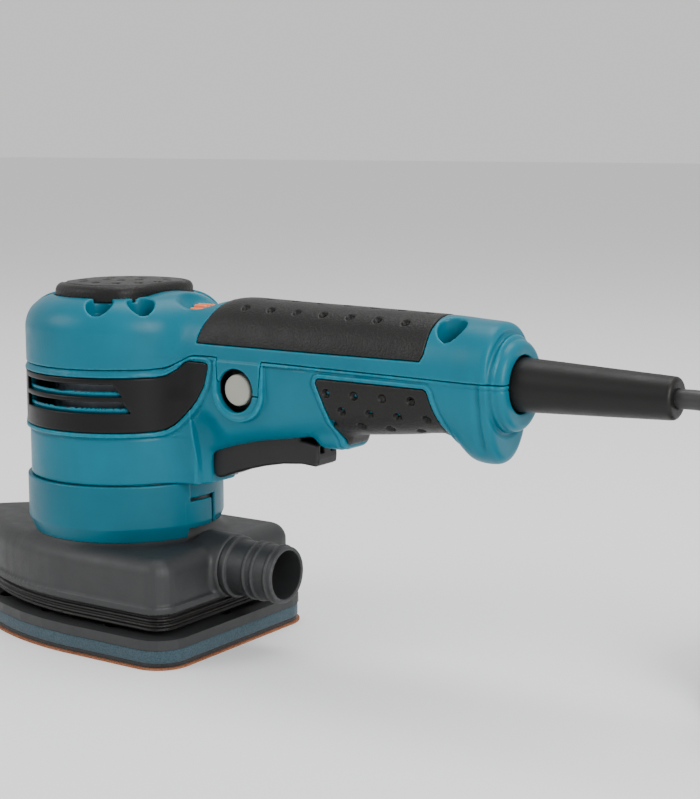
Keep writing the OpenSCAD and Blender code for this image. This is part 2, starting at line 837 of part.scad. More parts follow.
module cord_clamp() {
    color(charcoal) difference() {
        translate([146, -12, guard_z + 1]) cube([9, 24, 4.5]);
        along_x(cord_d / 2 + fit, 140, 160, 0);
        for (s = [-1, 1]) translate([150.5, s * 8.6, 100]) cylinder(r = 1.6, h = 40, $fn = 24);
    }
    color(charcoal) difference() {
        translate([146, -12, guard_z - 6]) cube([9, 24, 6]);
        along_x(cord_d / 2 + fit, 140, 160, 0);
        for (s = [-1, 1]) translate([150.5, s * 8.6, 100]) cylinder(r = 1.5, h = 40, $fn = 24);
    }
}

module clamp_screws() {
    color(steel) for (s = [-1, 1]) translate([150.5, s * 8.6, guard_z - 5]) screw(2.8, 1.8, 1.5, 10.5);
}

module cord_inner_end() {
    color("#1b1b1b") along_x(cord_d / 2, 141.2, guard_tip_x, 0);
}

module cord_guard() {
    color(rubber) difference() {
        union() {
            along_x(12.2, bulkhead_x - 4.4, bulkhead_x - 0.2);
            along_x(10, bulkhead_x - 0.3, collar_end - 4);
            translate([collar_end - 4, 0, guard_z]) rotate([0, 90, 0])
                cylinder(r1 = 10, r2 = 7.6, h = guard_len + 4, $fn = round_fn);
        }
        along_x(cord_d / 2 + fit, 160, guard_tip_x + 1);
    }
}

module housing_screws() {
    color(steel) {
        for (p = head_wells) translate([p[0], p[1], 110.5]) screw(3.6, 2.4, screw_r, head_well_floor - 110.5);
        for (p = rear_wells) translate([p[0], p[1], 110]) screw(3.6, 2.4, screw_r, rear_well_floor - 110);
    }
}

module bracket_screws() {
    color(steel) for (a = [45 : 90 : 315]) rotate(a)
        translate([bracket_bolt_at, 0, bracket_z + 0.3]) cylinder(r = 1.6, h = 10, $fn = 24);
}

// ================= cord =================

module cord_lead() {
    color("#1b1b1b") route_tube(lead_route, cord_d / 2, 10);
}

module cord_tail() {
    color("#1b1b1b") route_tube(tail_route, cord_d / 2, 10);
}

module cord_coil() {
    color("#1b1b1b") translate([coil_spot[0], coil_spot[1], 0]) rotate_extrude($fn = 72)
        translate([coil_inner_r, 0]) square([coil_outer_r - coil_inner_r, coil_h]);
}

// A band round the coil on its far side, a little roomier where the coil curves in
module cord_tie() {
    tie_t = 1.4;
    tie_w = 12;
    inner_room = 0.85;
    outer_room = 0.25;
    span = coil_outer_r - coil_inner_r;
    color("#2a2a2a") translate([coil_spot[0], coil_spot[1], 0]) rotate(90) translate([coil_inner_r, 0, 0])
        difference() {
            translate([-inner_room - tie_t, -tie_w / 2, 0])
                cube([span + inner_room + outer_room + 2 * tie_t, tie_w, coil_h + tie_t]);
            translate([-inner_room, -tie_w / 2 - 1, -1])
                cube([span + inner_room + outer_room, tie_w + 2, coil_h + 1.05]);
        }
}

module plug_place() {
    translate(plug_spot) rotate([0, 0, plug_turn]) rotate([0, 90, 0]) children();
}

module plug_body() {
    color("#1b1b1b") plug_place() {
        cylinder(r1 = 4.6, r2 = 6.5, h = 12, $fn = 40);
        translate([-6.5, -7, 12 - eps]) cube([13, 14, 18]);
        translate([-6.8, -13, 26]) cube([13.6, 26, 9]);
    }
}

module plug_pins() {
    color("silver") plug_place() for (s = [-1, 1]) translate([0, s * 9.3, 35])
        cylinder(r = 2, h = 19, $fn = 32);
}

upper_shell();
lower_shell();
head_cap();
upper_grip();
lower_grip();
vent_panel_left();
vent_panel_right();
shroud_left();
shroud_right();
dust_hood();
dust_port();
pad_seal();
flexible_feet();
stator_core();
field_coils();
bearing_bracket();
lower_bearing();
upper_bearing();
bearing_sleeve();
brush_holders();
carbon_brushes();
brush_springs();
switch_body();
speed_board();
capacitor();
cord_clamp();
cord_guard();
cord_inner_end();
inner_leads();
trigger_pin();
housing_screws();
clamp_screws();
bracket_screws();
motor_shaft();
armature_core();
commutator();
cooling_fan();
counterweight();
pad_bearing();
pad_spindle();
base_plate();
foam_pad();
hook_face();
abrasive_sheet();
spindle_screws();
trigger();
trigger_spring();
switch_plunger();
lock_button();
lock_spring();
speed_dial();
cord_lead();
cord_coil();
cord_tail();
cord_tie();
plug_body();
plug_pins();
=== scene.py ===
import math

import bpy
import numpy as np
from mathutils import Matrix, Vector


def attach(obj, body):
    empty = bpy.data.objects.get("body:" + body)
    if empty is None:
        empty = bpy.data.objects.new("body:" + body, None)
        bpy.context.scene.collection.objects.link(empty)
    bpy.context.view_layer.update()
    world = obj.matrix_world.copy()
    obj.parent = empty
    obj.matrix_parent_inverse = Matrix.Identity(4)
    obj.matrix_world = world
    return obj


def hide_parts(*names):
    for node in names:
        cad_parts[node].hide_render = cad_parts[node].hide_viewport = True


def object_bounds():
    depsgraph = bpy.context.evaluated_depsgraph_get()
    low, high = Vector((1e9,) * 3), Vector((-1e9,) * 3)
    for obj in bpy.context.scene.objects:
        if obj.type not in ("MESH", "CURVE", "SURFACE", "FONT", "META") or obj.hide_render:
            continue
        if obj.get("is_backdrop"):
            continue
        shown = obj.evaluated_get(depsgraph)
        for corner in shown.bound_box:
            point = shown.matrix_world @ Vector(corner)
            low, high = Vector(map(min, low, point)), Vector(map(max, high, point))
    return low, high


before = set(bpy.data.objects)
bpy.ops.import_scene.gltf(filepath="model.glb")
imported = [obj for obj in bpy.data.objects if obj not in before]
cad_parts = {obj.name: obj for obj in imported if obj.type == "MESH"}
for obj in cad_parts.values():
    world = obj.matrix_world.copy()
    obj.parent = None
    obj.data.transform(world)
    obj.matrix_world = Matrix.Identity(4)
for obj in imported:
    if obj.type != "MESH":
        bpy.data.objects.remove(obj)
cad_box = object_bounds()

# Every field below works in millimetres in the row frame; meshes are written in metres.
MM = 0.001
FINE = 1.0


# ============ distance fields ============

def union(a, b, k=0.0):
    """Smooth union of two distances; k is about the fillet's size."""
    if k <= 0:
        return np.minimum(a, b)
    h = np.clip(0.5 + 0.5 * (b - a) / k, 0, 1)
    return b + (a - b) * h - k * h * (1 - h)


def common(a, b, k=0.0):
    """Smooth intersection."""
    return -union(-a, -b, k)


def cut(a, b, k=0.0):
    """a with b taken away."""
    return common(a, -b, k)


def corner(u, v, edge):
    """Two distances joined at a rounded outer corner."""
    u, v = u + edge, v + edge
    return np.minimum(np.maximum(u, v), 0) + np.hypot(np.maximum(u, 0), np.maximum(v, 0)) - edge


def bar(P, axis, centre, radius, half, edge=0.4):
    """A round bar along one axis, with rounded ends."""
    Q = P - np.asarray(centre, float)
    a, b = [i for i in range(3) if i != axis]
    return corner(np.hypot(Q[:, a], Q[:, b]) - radius, np.abs(Q[:, axis]) - half, edge)


def block(P, centre, half, edge=0.4):
    """A box with rounded edges."""
    Q = np.abs(P - np.asarray(centre, float)) - np.asarray(half, float) + edge
    inside = np.minimum(Q.max(1), 0)
    return inside + np.linalg.norm(np.maximum(Q, 0), axis=1) - edge


def outline(u, v, points):
    """Distance to a closed outline, negative inside it."""
    p = np.asarray(points, float)
    best = np.full(len(u), 1e9)
    inside = np.zeros(len(u), bool)
    for a, b in zip(p, np.roll(p, -1, 0)):
        e = b - a
        t = np.clip(((u - a[0]) * e[0] + (v - a[1]) * e[1]) / (e @ e), 0, 1)
        best = np.minimum(best, (u - a[0] - t * e[0]) ** 2 + (v - a[1] - t * e[1]) ** 2)
        if e[1] != 0:
            crosses = (a[1] > v) != (b[1] > v)
            inside ^= crosses & (u < a[0] + (v - a[1]) * e[0] / e[1])
    best = np.sqrt(best)
    return np.where(inside, -best, best)


def arc(cx, cy, r, a0, a1, n=8):
    """Points on an arc, angles in degrees."""
    return [(cx + r * math.cos(math.radians(a)), cy + r * math.sin(math.radians(a)))
            for a in np.linspace(a0, a1, n + 1)]


def smooth_table(stations):
    """A smooth curve through rows of (x, value, value...), as a dense table."""
    s = np.asarray(stations, float)
    slope = np.gradient(s[:, 1:], s[:, 0], axis=0)
    xs = np.linspace(s[0, 0], s[-1, 0], 600)
    i = np.clip(np.searchsorted(s[:, 0], xs) - 1, 0, len(s) - 2)
    w = s[i + 1, 0] - s[i, 0]
    t = ((xs - s[i, 0]) / w)[:, None]
    w = w[:, None]
    values = ((2 * t**3 - 3 * t**2 + 1) * s[i, 1:] + (t**3 - 2 * t**2 + t) * w * slope[i]
              + (3 * t**2 - 2 * t**3) * s[i + 1, 1:] + (t**3 - t**2) * w * slope[i + 1])
    return xs, values


def read_table(table, x):
    xs, values = table
    return [np.interp(x, xs, values[:, k]) for k in range(values.shape[1])]


# ============ meshing ============

CORNERS = np.array([(i, j, k) for i in (0, 1) for j in (0, 1) for k in (0, 1)])
EDGES = [(a, b) for a in range(8) for b in range(a + 1, 8) if np.abs(CORNERS[a] - CORNERS[b]).sum() == 1]
BLOCK = 4


def sample(field, low, shape, cell):
    """Field values on a grid, worked out only near the surface."""
    blocks = -(-(shape - 1) // BLOCK)
    full = blocks * BLOCK + 1
    centres = np.stack(np.meshgrid(*[np.arange(n) for n in blocks], indexing="ij"), -1).reshape(-1, 3)
    d = field(low + (centres + 0.5) * BLOCK * cell)
    values = np.repeat(np.repeat(np.repeat(d.reshape(blocks), BLOCK, 0), BLOCK, 1), BLOCK, 2)
    values = np.pad(values, ((0, 1),) * 3, mode="edge")
    near = np.zeros(full, bool)
    for c in centres[np.abs(d) < 1.6 * BLOCK * cell] * BLOCK:
        near[c[0]:c[0] + BLOCK + 1, c[1]:c[1] + BLOCK + 1, c[2]:c[2] + BLOCK + 1] = True
    at = np.argwhere(near)
    for part in np.array_split(np.arange(len(at)), max(1, len(at) // 400000)):
        ijk = at[part]
        values[ijk[:, 0], ijk[:, 1], ijk[:, 2]] = field(low + ijk * cell)
    return values


def surface_net(values):
    """Vertices (in grid units) and quads of the zero surface."""
    inside = values < 0
    count = sum(inside[c[0]:inside.shape[0] - 1 + c[0], c[1]:inside.shape[1] - 1 + c[1],
                       c[2]:inside.shape[2] - 1 + c[2]].astype(np.int8) for c in CORNERS)
    cells = np.argwhere((count > 0) & (count < 8))
    index = np.full(count.shape, -1, np.int64)
    index[cells[:, 0], cells[:, 1], cells[:, 2]] = np.arange(len(cells))
    at = np.stack([values[cells[:, 0] + c[0], cells[:, 1] + c[1], cells[:, 2] + c[2]] for c in CORNERS], 1)
    total, hits = np.zeros((len(cells), 3)), np.zeros(len(cells))
    for a, b in EDGES:
        mixed = (at[:, a] < 0) != (at[:, b] < 0)
        t = at[mixed, a] / (at[mixed, a] - at[mixed, b])
        total[mixed] += CORNERS[a] + t[:, None] * (CORNERS[b] - CORNERS[a])
        hits[mixed] += 1
    points = cells + total / hits[:, None]
    quads = []
    for axis in range(3):
        u, v = (axis + 1) % 3, (axis + 2) % 3
        here = [slice(1, None)] * 3
        here[axis] = slice(0, -1)
        ahead = list(here)
        ahead[axis] = slice(1, None)
        a, b = inside[tuple(here)], inside[tuple(ahead)]
        for flip in (False, True):
            e = np.argwhere(a & ~b if not flip else b & ~a)
            e[:, u] += 1
            e[:, v] += 1
            ring = []
            for du, dv in ((-1, -1), (0, -1), (0, 0), (-1, 0)):
                c = e.copy()
                c[:, u] += du
                c[:, v] += dv
                ring.append(index[c[:, 0], c[:, 1], c[:, 2]])
            q = np.stack(ring, 1)
            quads.append(q[:, ::-1] if flip else q)
    return points, np.concatenate(quads)


def settle(field, points, cell, rounds=3):
    """Moves points onto the surface along the field's gradient."""
    h = 0.1 * cell
    for _ in range(rounds):
        d = field(points)
        g = np.stack([(field(points + step) - d) / h for step in np.eye(3) * h], 1)
        move = -(d / np.maximum((g * g).sum(1), 0.2))[:, None] * g
        size = np.linalg.norm(move, axis=1, keepdims=True)
        points = points + move * np.minimum(1, 0.45 * cell / np.maximum(size, 1e-9))
    return points


def bend_of(field, points, reach=0.7):
    """How sharply the surface bends at each point: above 0 on an outer edge, below 0 in a crease."""
    around = sum(field(points + s * step) for step in np.eye(3) * reach for s in (-1, 1))
    return np.clip(around / reach * 0.5, -1, 1)


def make_mesh(name, points, faces, material, edge=None):
    """A mesh object in metres from points in millimetres and equal-sided faces."""
    mesh = bpy.data.meshes.new(name)
    mesh.vertices.add(len(points))
    mesh.vertices.foreach_set("co", (np.asarray(points, np.float32) * MM).ravel())
    sides = faces.shape[1]
    mesh.loops.add(faces.size)
    mesh.loops.foreach_set("vertex_index", faces.astype(np.int32).ravel())
    mesh.polygons.add(len(faces))
    mesh.polygons.foreach_set("loop_start", np.arange(0, faces.size, sides, dtype=np.int32))
    mesh.polygons.foreach_set("loop_total", np.full(len(faces), sides, np.int32))
    mesh.polygons.foreach_set("use_smooth", np.ones(len(faces), bool))
    mesh.update()
    mesh.validate()
    if edge is not None:
        mesh.attributes.new("edge", "FLOAT", "POINT").data.foreach_set("value", edge.astype(np.float32))
    piece = bpy.data.objects.new(name, mesh)
    bpy.context.scene.collection.objects.link(piece)
    mesh.materials.append(material)
    return piece


def solid(name, field, low, high, cell, material, node=None, body="housing"):
    """Meshes a field inside a box and puts it in place of its CAD node."""
    cell = cell * FINE
    low = np.asarray(low, float) - 1.5 * cell
    shape = np.ceil((np.asarray(high, float) + 1.5 * cell - low) / cell).astype(int) + 1
    points, quads = surface_net(sample(field, low, shape, cell))
    points = settle(field, low + points * cell, cell)
    piece = make_mesh(name, points, quads, material, bend_of(field, points))
    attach(piece, body)
    if node:
        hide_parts(node)
    return piece


# ============ materials ============

def linear(hex_colour):
    """A hex colour as linear RGBA."""
    channel = [int(hex_colour[i:i + 2], 16) / 255 for i in (1, 3, 5)]
    return [c / 12.92 if c <= 0.04045 else ((c + 0.055) / 1.055) ** 2.4 for c in channel] + [1]


class Nodes:
    """Short calls for building one material."""

    def __init__(self, name):
        self.material = bpy.data.materials.new(name)
        self.material.use_nodes = True
        self.tree = self.material.node_tree
        self.shader = self.tree.nodes["Principled BSDF"]
        self.place = self.tree.nodes.new("ShaderNodeTexCoord").outputs["Object"]

    def link(self, a, b):
        self.tree.links.new(a, b)

    def noise(self, per_mm, detail=3.0, rough=0.55, stretch=None):
        source = self.place
        if stretch:
            mapping = self.tree.nodes.new("ShaderNodeMapping")
            mapping.inputs["Scale"].default_value = stretch
            self.link(source, mapping.inputs["Vector"])
            source = mapping.outputs["Vector"]
        n = self.tree.nodes.new("ShaderNodeTexNoise")
        n.inputs["Scale"].default_value = per_mm * 1000
        n.inputs["Detail"].default_value = detail
        n.inputs["Roughness"].default_value = rough
        self.link(source, n.inputs["Vector"])
        return n.outputs["Fac"]

    def cells(self, per_mm, randomness=1.0):
        n = self.tree.nodes.new("ShaderNodeTexVoronoi")
        n.inputs["Scale"].default_value = per_mm * 1000
        n.inputs["Randomness"].default_value = randomness
        self.link(self.place, n.inputs["Vector"])
        return n.outputs["Distance"]

    def edge(self):
        n = self.tree.nodes.new("ShaderNodeAttribute")
        n.attribute_name = "edge"
        return n.outputs["Fac"]

    def span(self, value, a, b, low, high):
        n = self.tree.nodes.new("ShaderNodeMapRange")
        self.link(value, n.inputs["Value"])
        for key, number in zip(("From Min", "From Max", "To Min", "To Max"), (a, b, low, high)):
            n.inputs[key].default_value = number
        return n.outputs["Result"]

    def math(self, operation, a, b):
        n = self.tree.nodes.new("ShaderNodeMath")
        n.operation = operation
        for socket, value in zip(n.inputs, (a, b)):
            if isinstance(value, (int, float)):
                socket.default_value = value
            else:
                self.link(value, socket)
        return n.outputs[0]

    def mix(self, factor, a, b):
        n = self.tree.nodes.new("ShaderNodeMix")
        n.data_type = "RGBA"
        self.link(factor, n.inputs["Factor"])
        for key, value in ((6, a), (7, b)):
            if isinstance(value, (list, tuple)):
                n.inputs[key].default_value = value
            else:
                self.link(value, n.inputs[key])
        return n.outputs[2]

    def bump(self, height, strength, distance_mm):
        n = self.tree.nodes.new("ShaderNodeBump")
        n.inputs["Strength"].default_value = strength
        n.inputs["Distance"].default_value = distance_mm * MM
        self.link(height, n.inputs["Height"])
        self.link(n.outputs["Normal"], self.shader.inputs["Normal"])

    def set(self, **values):
        for key, value in values.items():
            self.shader.inputs[key.replace("_", " ")].default_value = value


def moulded(name, colour, worn, deep, rough, grain, grain_depth, specular=0.5, relief=0.55):
    """Moulded plastic or rubber: spark-eroded grain, lighter rubbed edges, painted shade darkening the
    creases.
    """
    m = Nodes(name)
    blotch = m.span(m.noise(0.045, 4), 0.3, 0.7, 0, 1)
    tone = m.mix(m.math("MULTIPLY", blotch, 0.35), linear(colour), linear(deep))
    bend = m.edge()
    rubbed = m.math("MULTIPLY", m.span(bend, 0.12, 0.7, 0, 0.55), m.span(m.noise(0.5, 5), 0.35, 0.7, 0.2, 1))
    tone = m.mix(rubbed, tone, linear(worn))
    # painted shade: the colour turns darker in the creases, where shade falls
    tone = m.mix(m.span(bend, -0.1, -0.7, 0, 0.6), tone, linear(deep))
    m.link(tone, m.shader.inputs["Base Color"])
    fine = m.noise(grain, 2.5, 0.6)
    gloss = m.math("ADD", m.span(m.noise(0.12, 5, 0.6), 0.25, 0.75, rough - 0.06, rough + 0.07),
                   m.span(fine, 0.3, 0.7, -0.03, 0.03))
    m.link(m.math("SUBTRACT", gloss, m.math("MULTIPLY", rubbed, 0.12)), m.shader.inputs["Roughness"])
    m.bump(fine, relief, grain_depth)
    m.set(Specular_IOR_Level=specular)
    return m.material


def metal(name, colour, dark, rough, stretch=(1, 1, 8)):
    """Machined metal: fine turning marks and a faint film of dirt."""
    m = Nodes(name)
    marks = m.noise(1.2, 4, 0.6, stretch)
    film = m.span(m.noise(0.15, 4), 0.35, 0.75, 0, 0.55)
    m.link(m.mix(film, linear(colour), linear(dark)), m.shader.inputs["Base Color"])
    m.link(m.span(marks, 0.2, 0.8, rough - 0.08, rough + 0.14), m.shader.inputs["Roughness"])
    m.bump(marks, 0.35, 0.02)
    m.set(Metallic=1.0)
    return m.material


def windings(name, colour, dark):
    """Enamelled wire laid side by side."""
    m = Nodes(name)
    lay = m.noise(1.6, 2, 0.5, (1, 1, 0.15))
    m.link(m.mix(m.span(lay, 0.35, 0.65, 0, 1), linear(dark), linear(colour)), m.shader.inputs["Base Color"])
    m.link(m.span(lay, 0.3, 0.7, 0.42, 0.26), m.shader.inputs["Roughness"])
    m.bump(lay, 0.8, 0.15)
    m.set(Metallic=0.75)
    return m.material


def grit(name):
    """Coated abrasive: packed grains in a resin."""
    m = Nodes(name)
    grains = m.cells(3.0)
    m.link(m.mix(m.span(grains, 0.05, 0.55, 0, 1), linear("#c98a5c"), linear("#6e3a1e")),
           m.shader.inputs["Base Color"])
    m.link(m.span(grains, 0.1, 0.6, 0.55, 0.85), m.shader.inputs["Roughness"])
    m.bump(grains, 0.9, 0.12)
    return m.material


def foam(name, colour, deep):
    """Closed-cell foam."""
    m = Nodes(name)
    pores = m.cells(1.6)
    m.link(m.mix(m.span(pores, 0.1, 0.6, 0, 1), linear(deep), linear(colour)), m.shader.inputs["Base Color"])
    m.link(m.span(m.noise(0.3, 4), 0.3, 0.7, 0.8, 0.95), m.shader.inputs["Roughness"])
    m.bump(pores, 0.8, 0.2)
    m.set(Sheen_Weight=0.15)
    return m.material


teal = moulded("teal_plastic", "#006478", "#1f8aa0", "#004c5c", 0.36, 1.8, 0.05, 0.22)
# a darker copy of the teal plastic: painted shade for the shroud round the motor's lower end
teal_shaded_copy = moulded("teal_shroud_plastic", "#00596b", "#1d7c90", "#004452", 0.38, 1.8, 0.05, 0.22)
grip_rubber = moulded("grip_rubber", "#141312", "#383532", "#0c0b0b", 0.44, 0.95, 0.24, 0.26, relief=1.0)
panel_black = moulded("panel_black", "#0a0a0a", "#262525", "#060606", 0.38, 2.0, 0.05, 0.22)
hood_black = moulded("hood_black", "#252627", "#4b4c4e", "#18191a", 0.55, 1.3, 0.05)
trigger_grey = moulded("trigger_grey", "#1b1a1a", "#403e3d", "#121111", 0.40, 2.0, 0.05, 0.3)
button_grey = moulded("button_grey", "#96968c", "#b4b4aa", "#7e7e75", 0.42, 2.4, 0.022)
orange = moulded("dial_orange", "#e2703a", "#f39a66", "#b9501f", 0.42, 2.0, 0.03)
guard_rubber = moulded("guard_rubber", "#121110", "#302d2b", "#0c0b0b", 0.45, 1.1, 0.06, 0.26)
cord_jacket = moulded("cord_jacket", "#232323", "#3d3d3d", "#171717", 0.5, 1.4, 0.03)
ivory = moulded("plunger_ivory", "#d9d2bd", "#efe9d8", "#b8b09a", 0.35, 2.0, 0.02)
steel = metal("machined_steel", "#b9bcc0", "#7c7f83", 0.28)
screw_steel = metal("screw_steel", "#8f9296", "#4c4e51", 0.32)
cast = metal("cast_weight", "#62656a", "#3b3d40", 0.55, (1, 1, 1))
alloy = metal("bracket_alloy", "#a9adb0", "#7b7f82", 0.42, (1, 1, 1))
laminated = metal("laminated_core", "#7d8288", "#4e5257", 0.4, (0.2, 0.2, 6))
brass = metal("brass_holder", "#c2994d", "#7d5f28", 0.3)
copper = windings("winding_copper", "#b5682f", "#6d3514")
carbon = moulded("pressed_carbon", "#2b2b2c", "#49494b", "#1b1b1c", 0.6, 2.6, 0.03)
board = moulded("board_green", "#1e5a34", "#3c7d52", "#12401f", 0.3, 2.0, 0.015)
film_case = moulded("film_case", "#c49a2c", "#e0bd5e", "#93701a", 0.25, 1.0, 0.02)
lead_jacket = moulded("lead_jacket", "#5b3421", "#7a4b34", "#3c2012", 0.4, 1.5, 0.02)
foam_blue = foam("pad_foam", "#2f4650", "#1b2b33")
hook_black = foam("hook_tape", "#242425", "#101011")
abrasive = grit("abrasive_grit")
nickel = metal("pin_nickel", "#c9c8c0", "#9a998f", 0.2)


# ============ the cord and the camera come first ============

CAMERA_AT = (480.4, -542.1, 209.0)
CAMERA_AZIMUTH = 34.0
CAMERA_ELEVATION = 8.8
LENS_MM = 76.6

camera_data = bpy.data.cameras.new("camera")
camera_data.lens = LENS_MM
camera_data.sensor_width = 36
camera_data.clip_end = 20
camera = bpy.data.objects.new("camera", camera_data)
bpy.context.scene.collection.objects.link(camera)
camera.location = [c * MM for c in CAMERA_AT]
camera.rotation_euler = (math.radians(90 - CAMERA_ELEVATION), 0, math.radians(CAMERA_AZIMUTH))
bpy.context.scene.camera = camera

CORD_D = 7.0
LEAD_ROUTE = [
    (251, 0, 119.8), (260, 0, 119.8), (270, 0.6, 118.2), (280, 2.8, 113.9), (289, 7.2, 106.9), (297, 13.2,
                                                                                                97.8),
    (304, 20.2, 87.4), (310, 28, 77), (315.4, 36.4, 66.6), (320, 45.2, 56.4), (323.6, 54.2, 47),
    (326, 62.6, 39), (327, 70, 32.8),
]
TAIL_ROUTE = [
    (250, 70, 3.6), (250, 61, 3.6), (250.6, 52, 3.6), (252.6, 43, 3.6), (256, 34.4, 3.6),
    (260.8, 26.4, 3.9), (266.6, 19.4, 4.8), (272.6, 13.6, 6.2), (278, 8.6, 7),
]
COIL_AT = (292.0, 70.0)
COIL_RADII = (35.0, 42.0)
COIL_LAYERS = 5
TURN_POINTS = 24
TURNS = 9.5


def coil_points():
    """The coil's turns from its top inner one down, each moving over or down in its last quarter."""
    tracks = []
    for layer in range(COIL_LAYERS - 1, -1, -1):
        pair = COIL_RADII if (COIL_LAYERS - 1 - layer) % 2 == 0 else COIL_RADII[::-1]
        tracks += [(r, 3.6 + CORD_D * layer) for r in pair]
    points = []
    for i in range(1, int(TURNS * TURN_POINTS)):
        turn, part = divmod(i / TURN_POINTS, 1.0)
        a, b = tracks[int(turn)], tracks[min(int(turn) + 1, len(tracks) - 1)]
        s = min(max((part - 0.72) / 0.28, 0), 1)
        s = s * s * (3 - 2 * s)
        r, z = a[0] + (b[0] - a[0]) * s, a[1] + (b[1] - a[1]) * s
        angle = 2 * math.pi * (turn + part)
        points.append((COIL_AT[0] + r * math.cos(angle), COIL_AT[1] + r * math.sin(angle), z))
    return points


def cord_curve():
    points = LEAD_ROUTE + coil_points() + TAIL_ROUTE
    curve = bpy.data.curves.new("mains_cord", "CURVE")
    curve.dimensions = "3D"
    curve.bevel_depth = CORD_D / 2 * MM
    curve.bevel_resolution = 5
    curve.resolution_u = 4
    curve.use_fill_caps = True
    spline = curve.splines.new("BEZIER")
    spline.bezier_points.add(len(points) - 1)
    for b, p in zip(spline.bezier_points, points):
        b.co = Vector(p) * MM
        b.handle_left_type = b.handle_right_type = "AUTO"
    cord = bpy.data.objects.new("mains_cord", curve)
    bpy.context.scene.collection.objects.link(cord)
    curve.materials.append(cord_jacket)
    length = sum((Vector(a) - Vector(b)).length for a, b in zip(points, points[1:])) * MM
    return cord, length


cord, cord_length = cord_curve()
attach(cord, "housing")
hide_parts("cord_lead", "cord_coil", "cord_tail")


# ============ the body's shape ============

BARREL_R = 41.0
DOME_R = 42.0
CROWN_Z = 144.0
CAP_TOP = 149.7
SHOULDER = 14.0
CAP_R = 29.5
CAP_FLAT = 23.0
WALL = 2.4
MID_Z = 121.0
CORD_Z = 119.8
COLLAR_R = 16.0
COLLAR_END = 191.0
GUARD_HOLE_R = 10.8
BULKHEAD_X = 178.0
TRIGGER_HALF = 7.0
BUTTON_AT = (73.5, 110.2)
BUTTON_R = 6.3
HOLE_AT = (73.4, 110.1)
HOLE_R = 8.7
DIAL_AT = (43.0, 130.4)
DIAL_W = 6.6
WELL_R = 5.5
HEAD_WELLS = ((26.6, 20.8), (26.6, -20.8), (-26.6, 20.8), (-26.6, -20.8))
SCALLOPS = ((13.6, 31), (13.6, -31))
REAR_WELLS = ((166, 9), (166, -9))
HEAD_FLOOR = 130.0
REAR_FLOOR = 129.0
# Round pockets in the casing's top: places, floor, underside of the cup below
POCKETS = ((HEAD_WELLS, HEAD_FLOOR + 0.2, 127.2), (REAR_WELLS, REAR_FLOOR + 0.2, 127.2),
           (SCALLOPS, 137.0, 134.4))

# Along the handle: x, top, bottom, half-width of the upper and of the lower part, squareness of the lower
# part
HANDLE = smooth_table([
    (20, 142.4, 86, 17, 17, 3), (40, 142.4, 82, 18, 17.6, 3.2), (53, 142.6, 81.6, 19, 18.6, 3.4),
    (64, 144.7, 85, 19.5, 19.2, 3.4), (78, 144.8, 88.4, 19.5, 18.9, 3.4), (92, 144.5, 90.6, 19.5, 18.5, 3.3),
    (106, 144.3, 93, 19.5, 18.9, 3), (117, 144.2, 94.8, 19.3, 19, 2.8), (128, 144, 95.8, 19, 18.8, 2.6),
    (140, 143.8, 97, 18.8, 18.6, 2.5), (150, 143.6, 98.2, 18.6, 18.4, 2.5), (157, 143.5, 99.2, 18.5, 18.2,
                                                                             2.5),
    (163, 143.4, 99.2, 18.4, 18, 2.5), (167, 143.2, 97.2, 18.3, 17.8, 2.4), (170, 143, 93.6, 18.2, 17.5, 2.3),
    (173, 142.8, 90.8, 18.2, 17.4, 2.3), (177, 142.6, 89.6, 18.2, 17.2, 2.3), (182, 142.3, 89.6, 18, 17, 2.2),
    (187, 141.8, 90.6, 18, 16.6, 2.2)])
HANDLE_END = 185.3
TIER_END = 187.8
UPPER_SQUARE = 2.2


def rounded_section(y, z, up_h, down_h, up_w, down_w, down_square):
    """Distance to an egg-like section that is wider or squarer below its middle."""
    up = z > 0
    h, w = np.where(up, up_h, down_h), np.where(up, up_w, down_w)
    n = np.where(up, UPPER_SQUARE, down_square)
    a, b = np.maximum(np.abs(y) / w, 1e-4), np.maximum(np.abs(z) / h, 1e-4)
    f = (a ** n + b ** n) ** (1 / n)
    gy, gz = (a / f) ** (n - 1) / w, (b / f) ** (n - 1) / h
    return (f - 1) / np.maximum(np.hypot(gy, gz), 1e-3)


def handle(P):
    x, y, z = P.T
    top, bottom, up_w, down_w, square = read_table(HANDLE, x)
    d = rounded_section(y, z - MID_Z, top - MID_Z, MID_Z - bottom, up_w, down_w, square)
    # a shallow flute before the flared end
    d = d + 1.1 * np.exp(-((x - 180.6) / 1.5) ** 2) * np.clip((126 - z) / 10, 0, 1) * np.clip((z - 94) / 4,
                                                                                              0, 1)
    d = common(d, x - HANDLE_END, 3.6)
    ring = (np.hypot(y / 17.2, (z - CORD_Z) / 18.7) - 1) * 17.6
    tier = np.maximum(corner(ring, x - TIER_END, 2.4), 176 - x + np.maximum(ring + 6, 0))
    d = union(d, tier, 0.8)
    d = cut(d, np.hypot(x - 185.8, ring - 0.2) - 1.1, 0.6)
    collar = (np.hypot(y / COLLAR_R, (z - CORD_Z + 0.6) / 17) - 1) * COLLAR_R
    collar = np.maximum(corner(collar, x - COLLAR_END, 2.8), 176 - x + np.maximum(collar + 6, 0))
    d = union(d, collar, 0.6)
    return np.maximum(d, 25 - x)


def head(P):
    x, y, z = P.T
    r = np.hypot(x, y)
    d = corner(r - DOME_R, z - CROWN_Z, SHOULDER)
    step = np.clip((z - 87.9) / 0.9, 0, 1)
    return np.maximum(d, r - BARREL_R - (DOME_R - BARREL_R) * step * step * (3 - 2 * step))


